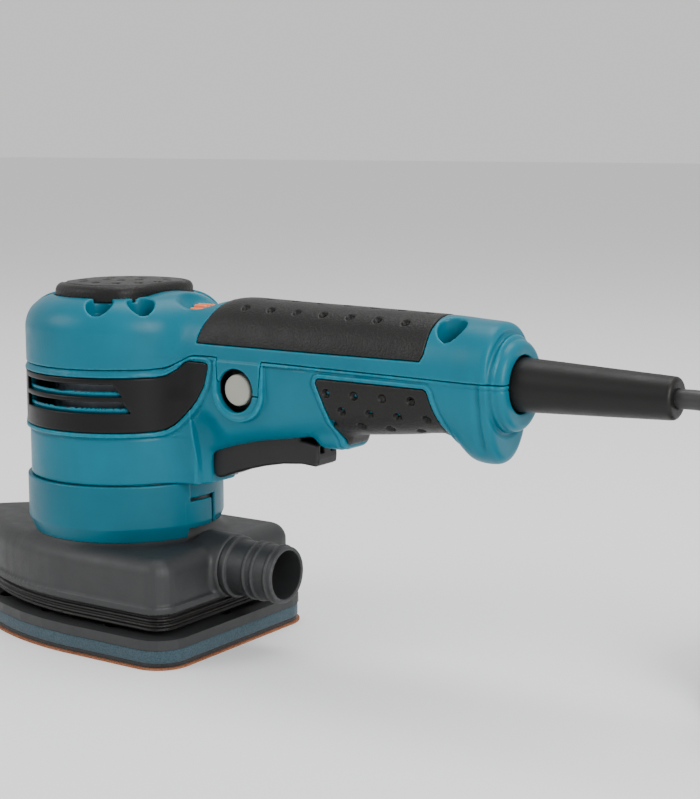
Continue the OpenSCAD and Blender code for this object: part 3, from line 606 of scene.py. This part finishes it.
def body(P):
    """The casing's outside, both shells together, without its openings."""
    x, y, z = P.T
    d = union(head(P), handle(P), 9)
    column = block(P, (31, 0, 85), (18.2, 14.5, 19), 1.4)
    neck = block(P, (42, 0, 81), (10.2, 9.3, 15), 3.6)
    lip = block(P, (52, 0, 69.4), (10.5, 7, 0.95), 0.8)
    hump = block(P, (111.4, 0, 98), (8.3, 10.5, 9.4), 5.5)
    d = union(d, column, 8)
    d = union(union(d, neck, 3.5), lip, 0.8)
    # hollows between the column's edge and the trigger
    hollow = (np.sqrt(((x - 54.5) / 10) ** 2 + ((np.abs(y) - 20.5) / 9.5) ** 2 + ((z - 84) / 15) ** 2)
              - 1) * 9.5
    d = np.minimum(np.maximum(d, x - 49.3), cut(d, hollow, 4))
    d = union(d, hump, 3)
    d = union(d, button_boss(P), 0.8)
    return common(d, 68.5 - z, 0.8)


def stadium(x, z, half, low_z, top_z):
    """A U-shaped outline: straight sides, round bottom."""
    return np.maximum(np.hypot(x, np.minimum(z - low_z, 0)) - half, z - top_z)


def button_boss(P):
    """The raised flat that carries the lock button, on the left side."""
    x, y, z = P.T
    d = stadium(x - 74.8, z, 12.3, 110.2, 121.4)
    return corner(np.maximum(d, y + 12), -20.1 - y, 0.5)


SEAM_LINE = smooth_table([(-60, 116), (28, 116), (34, 116.05), (38.5, 116.8), (44, 119.3), (50.5, 122.1),
                          (56, 122.6),
                          (70, 122.5), (200, 120.8)])


def seam_height(x):
    """Height of the seam between the shells at each place along the tool."""
    return read_table(SEAM_LINE, x)[0]


def tongue(P):
    """The upper shell's tongue that reaches down to the lock button."""
    x, y, z = P.T
    left, right = 64.9 - 0.06 * (z - 109), 85.2 + 0.06 * (z - 109)
    d = np.maximum(np.maximum(left - x, x - right), 108.6 - z)
    return np.maximum(d, y + 14)


def above_seam(P):
    """Negative in the upper shell's share of the casing."""
    return np.minimum(seam_height(P[:, 0]) - P[:, 2], tongue(P))


UPPER_GRIP = [(53.2, 127.8), (53.6, 130), (54.4, 133.1), (55.7, 136.6), (57.4, 140.9), (59.4, 144.2),
              (62, 152),
              (159.2, 152), (158.9, 143), (158.5, 138.9), (158.5, 133.7), (158.1, 130.2), (156.9, 127.8)]
LOWER_GRIP = ([(113.2, 117.9), (159.2, 117.4)] + arc(158.6, 115.4, 2, 70, 0, 3)
              + [(162.4, 109.4), (164.2, 104.3), (165.8, 101.2), (166.6, 98), (167, 84), (118.6, 84)]
              + [(118.6, 93.5), (117.4, 96.4), (116.6, 99.4), (116, 104.1), (114.3, 109.6), (112.2, 114.6)]
              + [(111.6, 116), (112, 117.4)])
PANEL = (arc(-30, 93.8, 3.4, 270, 180, 4) + arc(-30, 109.2, 3.4, 180, 90, 4)
         + [(30, 112.6), (35, 112.6), (38.6, 113.4), (42.8, 116), (46.4, 119), (49, 119.9), (58, 119.9)]
         + [(59.2, 119.3), (59.2, 118), (57.3, 111), (53.1, 104.6), (49.8, 101), (45.9, 97.4), (41.5, 93.6)]
         + [(38, 91.4), (35, 90.6), (30, 90.4)])
SLOTS = [[(-24, 105.2), (26, 105.2), (23.2, 110.2), (-24, 110.2)],
         [(-24, 98.4), (28.6, 98.4), (26, 103.2), (-24, 103.2)]]


DENT_R = 1.9
DENT_DEPTH = 1.25


def dents(P, spots):
    """Small round dents: distance to the nearest dent's ball."""
    best = np.full(len(P), 1e9)
    for s in spots:
        best = np.minimum(best, np.linalg.norm(P - s, axis=1) - DENT_R)
    return best


def dent_at(x, start, towards):
    """Centre of a dent's ball, found by walking from a point in Y and Z towards the casing."""
    t = np.linspace(0, 1, 400)
    line = np.stack([np.full(400, float(x)), start[0] + (towards[0] - start[0]) * t,
                     start[1] + (towards[1] - start[1]) * t], 1)
    hit = line[int(np.argmax(body(line) < 0))]
    normal = np.array([body(hit[None] + s)[0] - body(hit[None] - s)[0] for s in np.eye(3) * 0.3])
    return hit + normal / np.linalg.norm(normal) * (DENT_R - DENT_DEPTH)


def dents_on_side(xs, z):
    return [dent_at(x, (side * 26, z), (0, z)) for x in xs for side in (-1, 1)]


def dents_on_top(xs, y):
    return [dent_at(x, (side * y, 152), (side * y, 130)) for x in xs for side in ((-1, 1) if y else (1,))]


def scoop(P):
    """The hollow round the speed wheel."""
    x, y, z = P.T
    s = ((x - 43.6) / 11.2) ** 2 + (y / 13.2) ** 2 + ((z - 146.4) / 9.2) ** 2
    return (np.sqrt(s) - 1) * 9.2


def shell_skin(P, d):
    """The casing's wall with every opening that both shells share."""
    x, y, z = P.T
    wall = np.maximum(d, -np.maximum(d + WALL, x - BULKHEAD_X))
    wall = union(wall, np.maximum(scoop(P) - 1.8, d + 0.2))
    # guard hole
    wall = cut(wall, bar(P, 0, (195, 0, CORD_Z), GUARD_HOLE_R, 13, 0.2), 0.9)
    # trigger slot
    slot = block(P, (78.7, 0, 80), (26.9, TRIGGER_HALF + 0.6, 17), 0.6)
    wall = cut(wall, slot, 0.5)
    # lock button hole
    wall = cut(wall, np.maximum(np.hypot(x - HOLE_AT[0], z - HOLE_AT[1]) - HOLE_R, y + 8), 0.7)
    # speed dial: a sloping scoop and the window the wheel shows through
    wall = cut(wall, scoop(P), 0.9)
    wall = cut(wall, block(P, (DIAL_AT[0], 0, 145), (DIAL_W / 2 + 0.5, 8.2, 14), 0.5), 0.4)
    # the speed wheel's index mark
    mark = block(P, (37.6, 1.5, 143), (2.2, 0.4, 6), 0.2)
    wall = cut(wall, np.maximum(mark, scoop(P) - 0.8), 0.1)
    return wall


def wells(P):
    """The screw wells and the scallops beside them."""
    x, y, z = P.T
    best = np.full(len(P), 1e9)
    for places, floor_z, _ in POCKETS:
        for a, b in places:
            best = np.minimum(best, corner(np.hypot(x - a, y - b) - WELL_R, floor_z - z, 0.4))
    return best


def well_cups(P):
    """The walls round the wells inside the upper shell."""
    x, y, z = P.T
    best = np.full(len(P), 1e9)
    for places, _, underside in POCKETS:
        for a, b in places:
            best = np.minimum(best, np.maximum(np.hypot(x - a, y - b) - WELL_R - 1.8, underside - z))
    return best


def upper_shell(P):
    x, y, z = P.T
    d = body(P)
    # a shallow seat under the rubber grip, so that the rubber lies flush
    seat = outline(x, z, UPPER_GRIP) - 0.35
    d_seat = cut(d, np.maximum(seat, -(d + 1.55)), 0.25)
    wall = shell_skin(P, d_seat)
    wall = union(wall, np.maximum(well_cups(P), d_seat + 0.2))
    wall = cut(wall, wells(P), 0.8)
    cap_seat = corner(np.hypot(x, y) - CAP_R, np.abs(x) - CAP_FLAT, 6) - 0.3
    wall = cut(wall, corner(cap_seat, CROWN_Z - 2 - z, 0.3), 0.7)
    return common(wall, above_seam(P) + 0.16, 0.5)


def band(u, a, b, soft=0.5):
    """1 between two values of u and 0 outside them."""
    return np.clip((u - a) / soft + 0.5, 0, 1) * np.clip((b - u) / soft + 0.5, 0, 1)


def lower_shell(P):
    x, y, z = P.T
    d = body(P)
    grip = outline(x, z, LOWER_GRIP)
    ay = np.where(x < 62, np.abs(y), 99)
    panel = np.maximum(outline(x, z, PANEL), 6 - ay)
    # raised rims round the lower grip and the vent panel, and a second line below the seam
    d = d - 0.4 * band(grip, 0.2, 1.9) + 0.35 * np.exp(-((grip - 2.5) / 0.45) ** 2)
    d = d - 0.45 * band(panel, 0.3, 2.1) + 0.4 * np.exp(-((panel - 2.8) / 0.45) ** 2)
    d = d + 0.35 * np.exp(-((seam_height(x) - 1.7 - z) / 0.4) ** 2)
    boss = stadium(x - 74.8, z, 12.3, 110.2, 130)
    d = d - 0.5 * band(boss, -1.7, 0.1) * (y < -14) * np.clip((118 - z) / 6, 0, 1)
    d = cut(d, np.maximum(grip - 0.3, -(d + 1.55)), 0.25)
    d = cut(d, np.maximum(panel - 0.3, -(d + 1.55)), 0.25)
    wall = shell_skin(P, d)
    slots = np.full(len(P), 1e9)
    for s in SLOTS:
        slots = np.minimum(slots, outline(x, z, s) - 0.3)
    wall = cut(wall, np.maximum(slots, 20 - np.abs(y)), 0.3)
    wall = np.maximum(wall, -np.maximum(np.hypot(x, y) - 33, z - 74))
    return common(wall, 0.16 - above_seam(P), 0.5)


def grip_skin(line, spots):
    """A rubber skin over the casing inside an outline, with its dents."""
    def field(P):
        d = body(P)
        skin = common(d - 0.2, -(d + 1.5))
        skin = common(skin, outline(P[:, 0], P[:, 2], line), 0.7)
        return cut(skin, dents(P, spots), 0.3)
    return field


def vent_panel(side):
    def field(P):
        x, y, z = P.T
        d = body(P)
        skin = common(d - 0.1, -(d + 1.5))
        region = np.maximum(outline(x, z, PANEL), 6.2 - side * y)
        skin = common(skin, region, 0.5)
        for s in SLOTS:
            skin = cut(skin, outline(x, z, s), 0.5)
        return skin
    return field


def louvres(P):
    """Slanted teal blades behind the vent slots."""
    x, y, z = P.T
    r = np.hypot(x, y)
    best = np.full(len(P), 1e9)
    for low in (98.0, 104.8, 111.6):
        tilt = z - low - (r - 38.5) * 0.9
        best = np.minimum(best, np.abs(tilt) * 0.74 - 0.6)
    return np.maximum(np.maximum(best, np.abs(r - 38.6) - 1.9), np.abs(x) - 27)


PITCH = 12.4
UPPER_DENTS = (dents_on_top([72.3 + PITCH * i for i in range(7)], 10.4)
               + dents_on_top([64.4 + PITCH * i for i in range(8)], 0))
LOWER_DENTS = (dents_on_side([116.3 + PITCH * i for i in range(4)], 112.6)
               + dents_on_side([122.4 + 12.1 * i for i in range(4)], 106)
               + dents_on_side([117.0 + 12.1 * i for i in range(4)], 100.6))

solid("upper_shell_moulding", upper_shell, (-43, -43, 107), (192, 43, 146), 0.6, teal, "upper_shell")
solid("lower_shell_moulding", lower_shell, (-43, -43, 67), (192, 43, 124), 0.6, teal, "lower_shell")
solid("upper_grip_rubber", grip_skin(UPPER_GRIP, UPPER_DENTS), (52, -21, 126), (166, 21, 146), 0.45,
      grip_rubber, "upper_grip")
solid("lower_grip_rubber", grip_skin(LOWER_GRIP, LOWER_DENTS), (110, -21, 86), (176, 21, 119), 0.45,
      grip_rubber, "lower_grip")
solid("left_vent_panel", vent_panel(-1), (-36, -44, 88), (60, -4, 121), 0.5, panel_black, "vent_panel_left")
solid("right_vent_panel", vent_panel(1), (-36, 4, 88), (60, 44, 121), 0.5, panel_black, "vent_panel_right")
solid("vent_louvres", louvres, (-29, -42, 94), (29, 42, 115), 0.6, teal)

# ============ the other pieces ============

def cap(P):
    x, y, z = P.T
    r = np.hypot(x, y)
    d = corner(corner(r - CAP_R, np.abs(x) - CAP_FLAT, 6), z - (CAP_TOP - 0.0016 * r * r), 3)
    d = np.maximum(d, 142.2 - z)
    d = cut(d, np.hypot(r - 25.2, z - CAP_TOP + 0.7) - 0.8, 0.4)
    return cut(d, dents(P, CAP_DENTS), 0.5)


CAP_DENTS = [np.array([r * math.cos(a), r * math.sin(a), CAP_TOP - 0.0016 * r * r + DENT_R - DENT_DEPTH])
             for r, n in ((8, 6), (18, 12)) for a in np.arange(n) * 2 * math.pi / n]


SHROUD_R = 42.5
SHROUD_IN = 39.2
SHROUD_STEP = 1.9      # how far the right half lies below the left one
SHROUD_TOP = 68.2
SHROUD_BOTTOM = 44.4
TAPER_Z = 50.4
TAPER = 0.42


def tapered(radius, z):
    """A radius that shrinks below the shroud's taper line."""
    return radius - TAPER * np.maximum(TAPER_Z - z, 0)


def shroud(P, step, side):
    """One half of the split ring round the motor's lower end."""
    x, y, z = P.T
    r = np.hypot(x, y)
    angle = np.degrees(np.arctan2(y, x))
    d = corner(r - tapered(SHROUD_R - step, z), z - SHROUD_TOP, 0.5)
    d = np.maximum(np.maximum(d, SHROUD_IN - r), SHROUD_BOTTOM - z)
    if side == "left":
        ends = np.maximum(angle + 12.2, -168 - angle)
    else:
        turned = np.where(angle < -90, angle + 360, angle)
        ends = np.maximum(-11.8 - turned, turned - 191.6)
    return common(d, np.radians(ends) * r, 0.5)


def snap_tab(P):
    """The left half's tab that reaches over the right one."""
    x, y, z = P.T
    r = np.hypot(x, y)
    angle = np.degrees(np.arctan2(y, x))
    across = np.radians(np.maximum(angle - 4.8, -16 - angle)) * r
    d = corner(np.maximum(across, 48.4 - z), z - 59.8, 0.8)
    return np.maximum(np.maximum(d, r - tapered(SHROUD_R + 0.1, z)), 40.9 - r)


def left_shroud(P):
    return union(shroud(P, 0.0, "left"), snap_tab(P), 0.3)


def right_shroud(P):
    x, y, z = P.T
    angle = np.degrees(np.arctan2(y, x))
    notch = np.maximum(np.maximum(np.radians(angle - 12.4) * 42, np.radians(-14 - angle) * 42),
                       np.maximum(47.4 - z, z - 60.6))
    notch = np.maximum(notch, 38.6 - np.hypot(x, y))
    return cut(shroud(P, SHROUD_STEP, "right"), notch, 0.5)


def pad_arcs(inset, n):
    """The iron-shaped outline: heel corners, bowed sides and a rounded nose."""
    hw, heel, side_r, nose_r, corner_r, widest = 50, 60, 130, 12, 14, 8
    side_c = hw - side_r
    reach = math.sqrt((side_r - nose_r) ** 2 - side_c ** 2)
    turn = math.degrees(math.atan2(-side_c, -reach))
    points = (arc(heel - corner_r, hw - corner_r, corner_r - inset, 0, 90, n)
              + arc(widest, side_c, side_r - inset, 90, turn, 3 * n)
              + arc(widest - reach, 0, nose_r - inset, turn, 360 - turn, 2 * n)
              + arc(widest, -side_c, side_r - inset, 360 - turn, 270, 3 * n)
              + arc(heel - corner_r, corner_r - hw, corner_r - inset, 270, 360, n))
    return [p for i, p in enumerate(points) if math.dist(p, points[i - 1]) > 1e-6]


HOOD_LINE = pad_arcs(5, 5)
NECK_R = 38.6
NECK_TOP = 62.0
HOOD_TOP = 43.0
HOOD_BOTTOM = 21.0
PORT_Z = 33.0


def hood(P):
    x, y, z = P.T
    plan = outline(x, y, HOOD_LINE)
    shell = corner(plan, z - HOOD_TOP, 7)
    lip = np.maximum(plan - 0.9, z - 24)
    outside = union(shell, lip, 1.2)
    neck = np.hypot(x, y)
    outside = union(outside, np.maximum(neck - NECK_R, z - NECK_TOP), 5)
    outside = union(outside, bar(P, 0, (50, 0, PORT_Z), 13.4, 8, 1.2), 3)
    outside = common(outside, z - NECK_TOP, 0.6)
    inside = corner(plan + 2.2, z - HOOD_TOP + 2.2, 4.8)
    d = cut(np.maximum(outside, HOOD_BOTTOM - z), inside)
    d = cut(d, neck - NECK_R + 3)
    return cut(d, bar(P, 0, (50, 0, PORT_Z), 11.65, 9, 0.1), 0.5)


def port(P):
    _, y, z = P.T
    d = bar(P, 0, (65, 0, PORT_Z), 11.6, 19, 0.7)
    d = union(d, bar(P, 0, (59.5, 0, PORT_Z), 12.8, 1.5, 0.6), 0.8)
    for at in (70, 74, 80.8):
        d = union(d, bar(P, 0, (at, 0, PORT_Z), 12.2, 0.6, 0.35), 0.5)
    return cut(d, np.hypot(y, z - PORT_Z) - 10, 0.6)


SEAL_LINE = pad_arcs(5.9, 5)


def seal(P):
    x, y, z = P.T
    plan = outline(x - 0.5, y, SEAL_LINE)
    fold = 0.55 * np.cos((z - 14) * 2 * math.pi / 2.33)
    return np.maximum(np.abs(plan + 0.7 - fold) - 0.65, np.abs(z - 17.5) - 3.4)


TRIGGER_LINE = [(52, 81), (51.8, 76), (52.2, 72.6), (53.2, 71.4), (55, 71.1), (57.6, 71.8), (63, 73.9),
                (70, 76.2), (78, 78.4), (87, 80.2), (96, 81.1), (102.6, 80.7), (104, 81.4), (104.3,
                                                                                             84), (104, 89.4),
                (96, 90.8), (94, 95.4), (84.4, 95.4), (82, 91), (64, 90.6), (61, 92.2), (54, 92.2), (52, 90)]


def trigger(P):
    x, y, z = P.T
    plan = outline(x, z, TRIGGER_LINE)
    d = corner(plan, np.abs(y) - TRIGGER_HALF, 1.3)
    for side in (-1, 1):
        d = cut(d, block(P, (104, side * 3.6, 87.4), (2.2, 1.5, 1.4), 0.3), 0.3)
    d = cut(d, bar(P, 1, (57.5, 0, 88), 2.05, 9, 0.1), 0.2)
    return cut(d, bar(P, 2, (71, 0, 91), 4, 2.8, 0.2), 0.2)


def lock(P):
    x, y, z = P.T
    r = np.hypot(x - BUTTON_AT[0], z - BUTTON_AT[1])
    face = -y - (18.9 - 0.009 * r * r)
    d = np.maximum(corner(r - BUTTON_R, face, 0.9), y + 14.2)
    return np.minimum(d, bar(P, 1, (BUTTON_AT[0], -11.2, BUTTON_AT[1]), 2.4, 3.2, 0.4))


def dial(P):
    x, y, z = P.T
    z = z - DIAL_AT[1]
    r = np.hypot(y, z)
    rib = np.cos(24 * np.arctan2(y, z))
    rim = 10.55 + 0.38 * np.clip(rib * 2.2, -1, 1)
    d = corner((r - rim) * 0.8, np.abs(x - DIAL_AT[0]) - DIAL_W / 2, 0.6)
    d = cut(d, np.maximum(np.abs(r - 6.2) - 2.6, 3.6 - np.abs(x - DIAL_AT[0])), 0.5)
    return cut(d, r - 2.04, 0.2)


GUARD_ROOT = 191.0
GUARD_TIP = LEAD_ROUTE[0][0]
GUARD_R = 10.0
GUARD_TAPER = 2.4


def guard(P):
    """The rubber sleeve round the cord, with its flange behind the bulkhead."""
    x, y, z = P.T
    r = np.hypot(y, z - CORD_Z)
    t = np.clip((x - GUARD_ROOT) / (GUARD_TIP - GUARD_ROOT), 0, 1)
    d = corner((r - GUARD_R + GUARD_TAPER * t) * 0.998, x - GUARD_TIP, 1.6)
    d = np.minimum(np.maximum(d, 177.6 - x), bar(P, 0, (175.7, 0, CORD_Z), 12.2, 2.1, 0.4))
    seam = np.exp(-(y / 0.28) ** 2) * (x > GUARD_ROOT + 5) * (x < GUARD_TIP - 2)
    return np.maximum(d - 0.16 * seam, CORD_D / 2 + 0.02 - r)


SCREW_HEAD_R = 3.6
SCREW_HEAD_H = 2.4
SCREW_R = 2.0
THREAD_FROM = 8        # depth below the seat where the thread starts
SCREWS = [(place, HEAD_FLOOR, 19.5) for place in HEAD_WELLS] + [(place, REAR_FLOOR,
                                                                 19.0) for place in REAR_WELLS]


def screw(P, place, seat_z, length):
    """A domed screw with a cross recess, its head resting on a seat."""
    x, y, z = P[:, 0] - place[0], P[:, 1] - place[1], P[:, 2] - seat_z
    r = np.hypot(x, y)
    head = np.maximum(corner(r - SCREW_HEAD_R, z - SCREW_HEAD_H + 0.05 * r * r, 0.4), -z)
    reach, half = SCREW_HEAD_R * 0.62, 0.42
    cross = np.minimum(np.maximum(np.abs(x) - reach, np.abs(y) - half),
                       np.maximum(np.abs(y) - reach, np.abs(x) - half))
    head = cut(head, np.maximum(cross, SCREW_HEAD_H * 0.3 - z), 0.15)
    turn = ((z + seat_z) * 0.9 + np.arctan2(y, x) / (2 * math.pi)) % 1.0
    thread = 0.44 * np.abs(turn - 0.5) * (z < -THREAD_FROM)
    return np.minimum(head, np.maximum(r - SCREW_R + thread, np.abs(z + length / 2) - length / 2))


def housing_screws(P):
    best = np.full(len(P), 1e9)
    for place, seat_z, length in SCREWS:
        best = np.minimum(best, screw(P, place, seat_z, length))
    return best


PLUG_AT = TAIL_ROUTE[-1]
PLUG_TURN = -43        # degrees about Z


def plug_frame(P):
    """Points in the plug's own frame: u along it, v across it, w up."""
    turn = math.radians(PLUG_TURN)
    x, y, z = P[:, 0] - PLUG_AT[0], P[:, 1] - PLUG_AT[1], P[:, 2] - PLUG_AT[2]
    return x * math.cos(turn) + y * math.sin(turn), y * math.cos(turn) - x * math.sin(turn), z


def plug(P):
    u, v, w = plug_frame(P)
    r = np.hypot(v, w)
    sleeve = np.maximum(r - 4.5 - 0.16 * u, np.abs(u - 6.5) - 6.4)
    for i in range(4):
        sleeve = cut(sleeve, np.hypot(u - 2.2 - 2.6 * i, r - 5.4 - 0.16 * (2.2 + 2.6 * i)) - 0.75, 0.3)
    Q = np.stack([u, v, w], 1)
    grip = block(Q, (21, 0, 0), (9.4, 7, 6.4), 2.6)
    for i in 2 * (0, 1, 2, 3):     # each dent is cut twice, which softens its edge
        grip = cut(grip, np.hypot(u - 15 - 3 * i, np.abs(v) - 7.6) - 1.0, 0.4)
    face = block(Q, (30.4, 0, 0), (4.5, 12.8, 6.6), 2.4)
    return union(union(sleeve, grip, 1.5), face, 2.5)


def pins(P):
    u, v, w = plug_frame(P)
    Q = np.stack([u, v, w], 1)
    best = np.full(len(P), 1e9)
    for s in (-1, 1):
        best = np.minimum(best, bar(Q, 0, (44, 9.3 * s, 0), 2.0, 9.9, 1.4))
        best = cut(best, np.hypot(np.hypot(v - 9.3 * s, w) - 2.1, u - 44.5) - 0.35, 0.1)
    return best


def tie(P):
    x, y, z = P.T
    x, y = x - COIL_AT[0], y - COIL_AT[1]
    u, v = np.abs(y - 37.9) - 8.75 + 0.15, np.abs(x) - 6
    outer = corner(np.maximum(u, 0 - z), z - 36.7, 1.0)
    inner = np.maximum(np.abs(y - 38.05) - 7.75, z - 35.35)
    return common(cut(outer, inner, 0.3), v, 0.5)


solid("palm_cap", cap, (-31, -31, 142), (31, 31, 150), 0.5, grip_rubber, "head_cap")
solid("shroud_left_half", left_shroud, (-43, -43, 44), (43, 5.5, 68.5), 0.5, teal_shaded_copy, "shroud_left")
solid("shroud_right_half", right_shroud, (-43, -10, 44), (43, 43, 68.5), 0.55, teal_shaded_copy, "shroud_right")
solid("dust_hood_moulding", hood, (-90, -46, 20.5), (59, 46, 62.5), 0.75, hood_black, "dust_hood")
solid("dust_port_moulding", port, (45, -16, 15.5), (85, 16, 47.5), 0.5, hood_black, "dust_port")
solid("pad_seal_rubber", seal, (-88, -46, 13.8), (57, 46, 21.2), 0.5, guard_rubber, "pad_seal")
solid("trigger_lever", trigger, (51, -8, 70.5), (105, 8, 96), 0.4, trigger_grey, "trigger", "trigger")
solid("lock_button_cap", lock, (66.8, -19.5, 103.4), (80.2, -7.5, 117), 0.3, button_grey, "lock_button",
      "lock")
solid("speed_wheel", dial, (39, -11.5, 119), (47, 11.5, 142), 0.3, orange, "speed_dial", "dial")
solid("cord_guard_sleeve", guard, (173, -12.6, 105), (251.5, 12.6, 131), 0.5, guard_rubber, "cord_guard")
solid("housing_screw_set", housing_screws, (-32, -26, 109.9), (170, 26, 132.6), 0.32, screw_steel,
      "housing_screws")
solid("mains_plug", plug, (276, -26, 0), (312, 14, 14), 0.4, cord_jacket, "plug_body")
solid("mains_plug_pins", pins, (298, -34, 4), (326, -2, 10), 0.25, nickel, "plug_pins")
solid("cord_tie_band", tie, (285, 97, 0), (299, 118, 37.6), 0.4, hook_black, "cord_tie")


ORBIT = 1.0            # the pad's axis lies this far from the motor's
DUST_HOLE_R = 4.5
DUST_HOLES = [(-66, 0), (-46, 28), (-46, -28), (-14, 36), (-14, -36), (24, 38), (24, -38), (48, 0)]


def flat_layer(name, inset, z, thick, round_off, material, node):
    """A flat layer of the pad, with its dust holes, cut from the pad's outline."""
    curve = bpy.data.curves.new(name + "_line", "CURVE")
    curve.dimensions = "2D"
    curve.fill_mode = "BOTH"
    curve.extrude = (thick / 2 - round_off) * MM
    curve.bevel_depth = round_off * MM
    curve.bevel_resolution = 2
    curve.offset = -round_off * MM
    loops = [[(x + ORBIT, y) for x, y in pad_arcs(inset, 12)]]
    loops += [arc(x + ORBIT, y, DUST_HOLE_R, 0, 350, 35) for x, y in DUST_HOLES]
    for loop in loops:
        spline = curve.splines.new("POLY")
        spline.points.add(len(loop) - 1)
        for point, (x, y) in zip(spline.points, loop):
            point.co = (x * MM, y * MM, 0, 1)
        spline.use_cyclic_u = True
    holder = bpy.data.objects.new(name + "_line", curve)
    bpy.context.scene.collection.objects.link(holder)
    bpy.context.view_layer.update()
    mesh = bpy.data.meshes.new_from_object(holder.evaluated_get(bpy.context.evaluated_depsgraph_get()))
    bpy.data.objects.remove(holder)
    mesh.transform(Matrix.Translation((0, 0, (z + thick / 2) * MM)))
    mesh.materials.clear()
    mesh.materials.append(material)
    piece = bpy.data.objects.new(name, mesh)
    bpy.context.scene.collection.objects.link(piece)
    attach(piece, "pad")
    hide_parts(node)
    return piece


flat_layer("foam_layer", 0.9, 2.4, 5.6, 0.7, foam_blue, "foam_pad")
flat_layer("hook_layer", 1.2, 0.8, 1.6, 0.2, hook_black, "hook_face")
flat_layer("abrasive_disc", 0.0, 0.0, 0.8, 0.1, abrasive, "abrasive_sheet")

# ============ inner pieces that keep their CAD shapes ============

INNER = {
    steel: ("lower_bearing", "upper_bearing", "pad_bearing", "motor_shaft", "pad_spindle", "trigger_pin",
            "trigger_spring", "lock_spring", "brush_springs"),
    screw_steel: ("clamp_screws", "bracket_screws", "spindle_screws"),
    laminated: ("stator_core", "armature_core"),
    cast: ("counterweight",),
    alloy: ("bearing_bracket",),
    copper: ("field_coils", "commutator"),
    brass: ("brush_holders",),
    carbon: ("carbon_brushes",),
    board: ("speed_board",),
    film_case: ("capacitor",),
    lead_jacket: ("inner_leads",),
    hood_black: ("base_plate", "cooling_fan", "cord_clamp", "switch_body"),
    guard_rubber: ("bearing_sleeve", "flexible_feet"),
    ivory: ("switch_plunger",),
    cord_jacket: ("cord_inner_end",),
}
for material, names in INNER.items():
    for name in names:
        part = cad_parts[name]
        part.data.materials.clear()
        part.data.materials.append(material)

# ============ stage ============

floor_mesh = bpy.data.meshes.new("floor")
floor_mesh.from_pydata([(-12, -12, 0), (12, -12, 0), (12, 12, 0), (-12, 12, 0)], [], [(0, 1, 2, 3)])
floor = bpy.data.objects.new("floor", floor_mesh)
bpy.context.scene.collection.objects.link(floor)
pale = Nodes("pale_floor")
pale.set(Base_Color=(0.86, 0.86, 0.86, 1), Roughness=0.9, Specular_IOR_Level=0.1)
floor_mesh.materials.append(pale.material)
floor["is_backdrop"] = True


def softbox(name, at, towards, size, power):
    light = bpy.data.lights.new(name, "AREA")
    light.shape = "RECTANGLE"
    light.size, light.size_y = size
    light.energy = power
    lamp = bpy.data.objects.new(name, light)
    bpy.context.scene.collection.objects.link(lamp)
    lamp.location = at
    lamp.rotation_euler = (Vector(towards) - Vector(at)).to_track_quat("-Z", "Y").to_euler()
    return lamp


AIM = (0.09, 0, 0.11)
softbox("key_left", (-0.9, -1.0, 0.85), AIM, (0.8, 0.6), 7)
softbox("fill_right", (1.3, -0.5, 0.7), AIM, (0.6, 0.8), 16)
softbox("top", (0.1, 0.3, 1.5), AIM, (1.2, 0.8), 14)

world = bpy.data.worlds.new("studio")
world.use_nodes = True
world.node_tree.nodes["Background"].inputs["Color"].default_value = (1, 1, 1, 1)
world.node_tree.nodes["Background"].inputs["Strength"].default_value = 0.82
bpy.context.scene.world = world

tuple(c * MM for c in LEAD_ROUTE[0])

[[list(map(float, corner_at)) for corner_at in box] for box in (cad_box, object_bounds())]
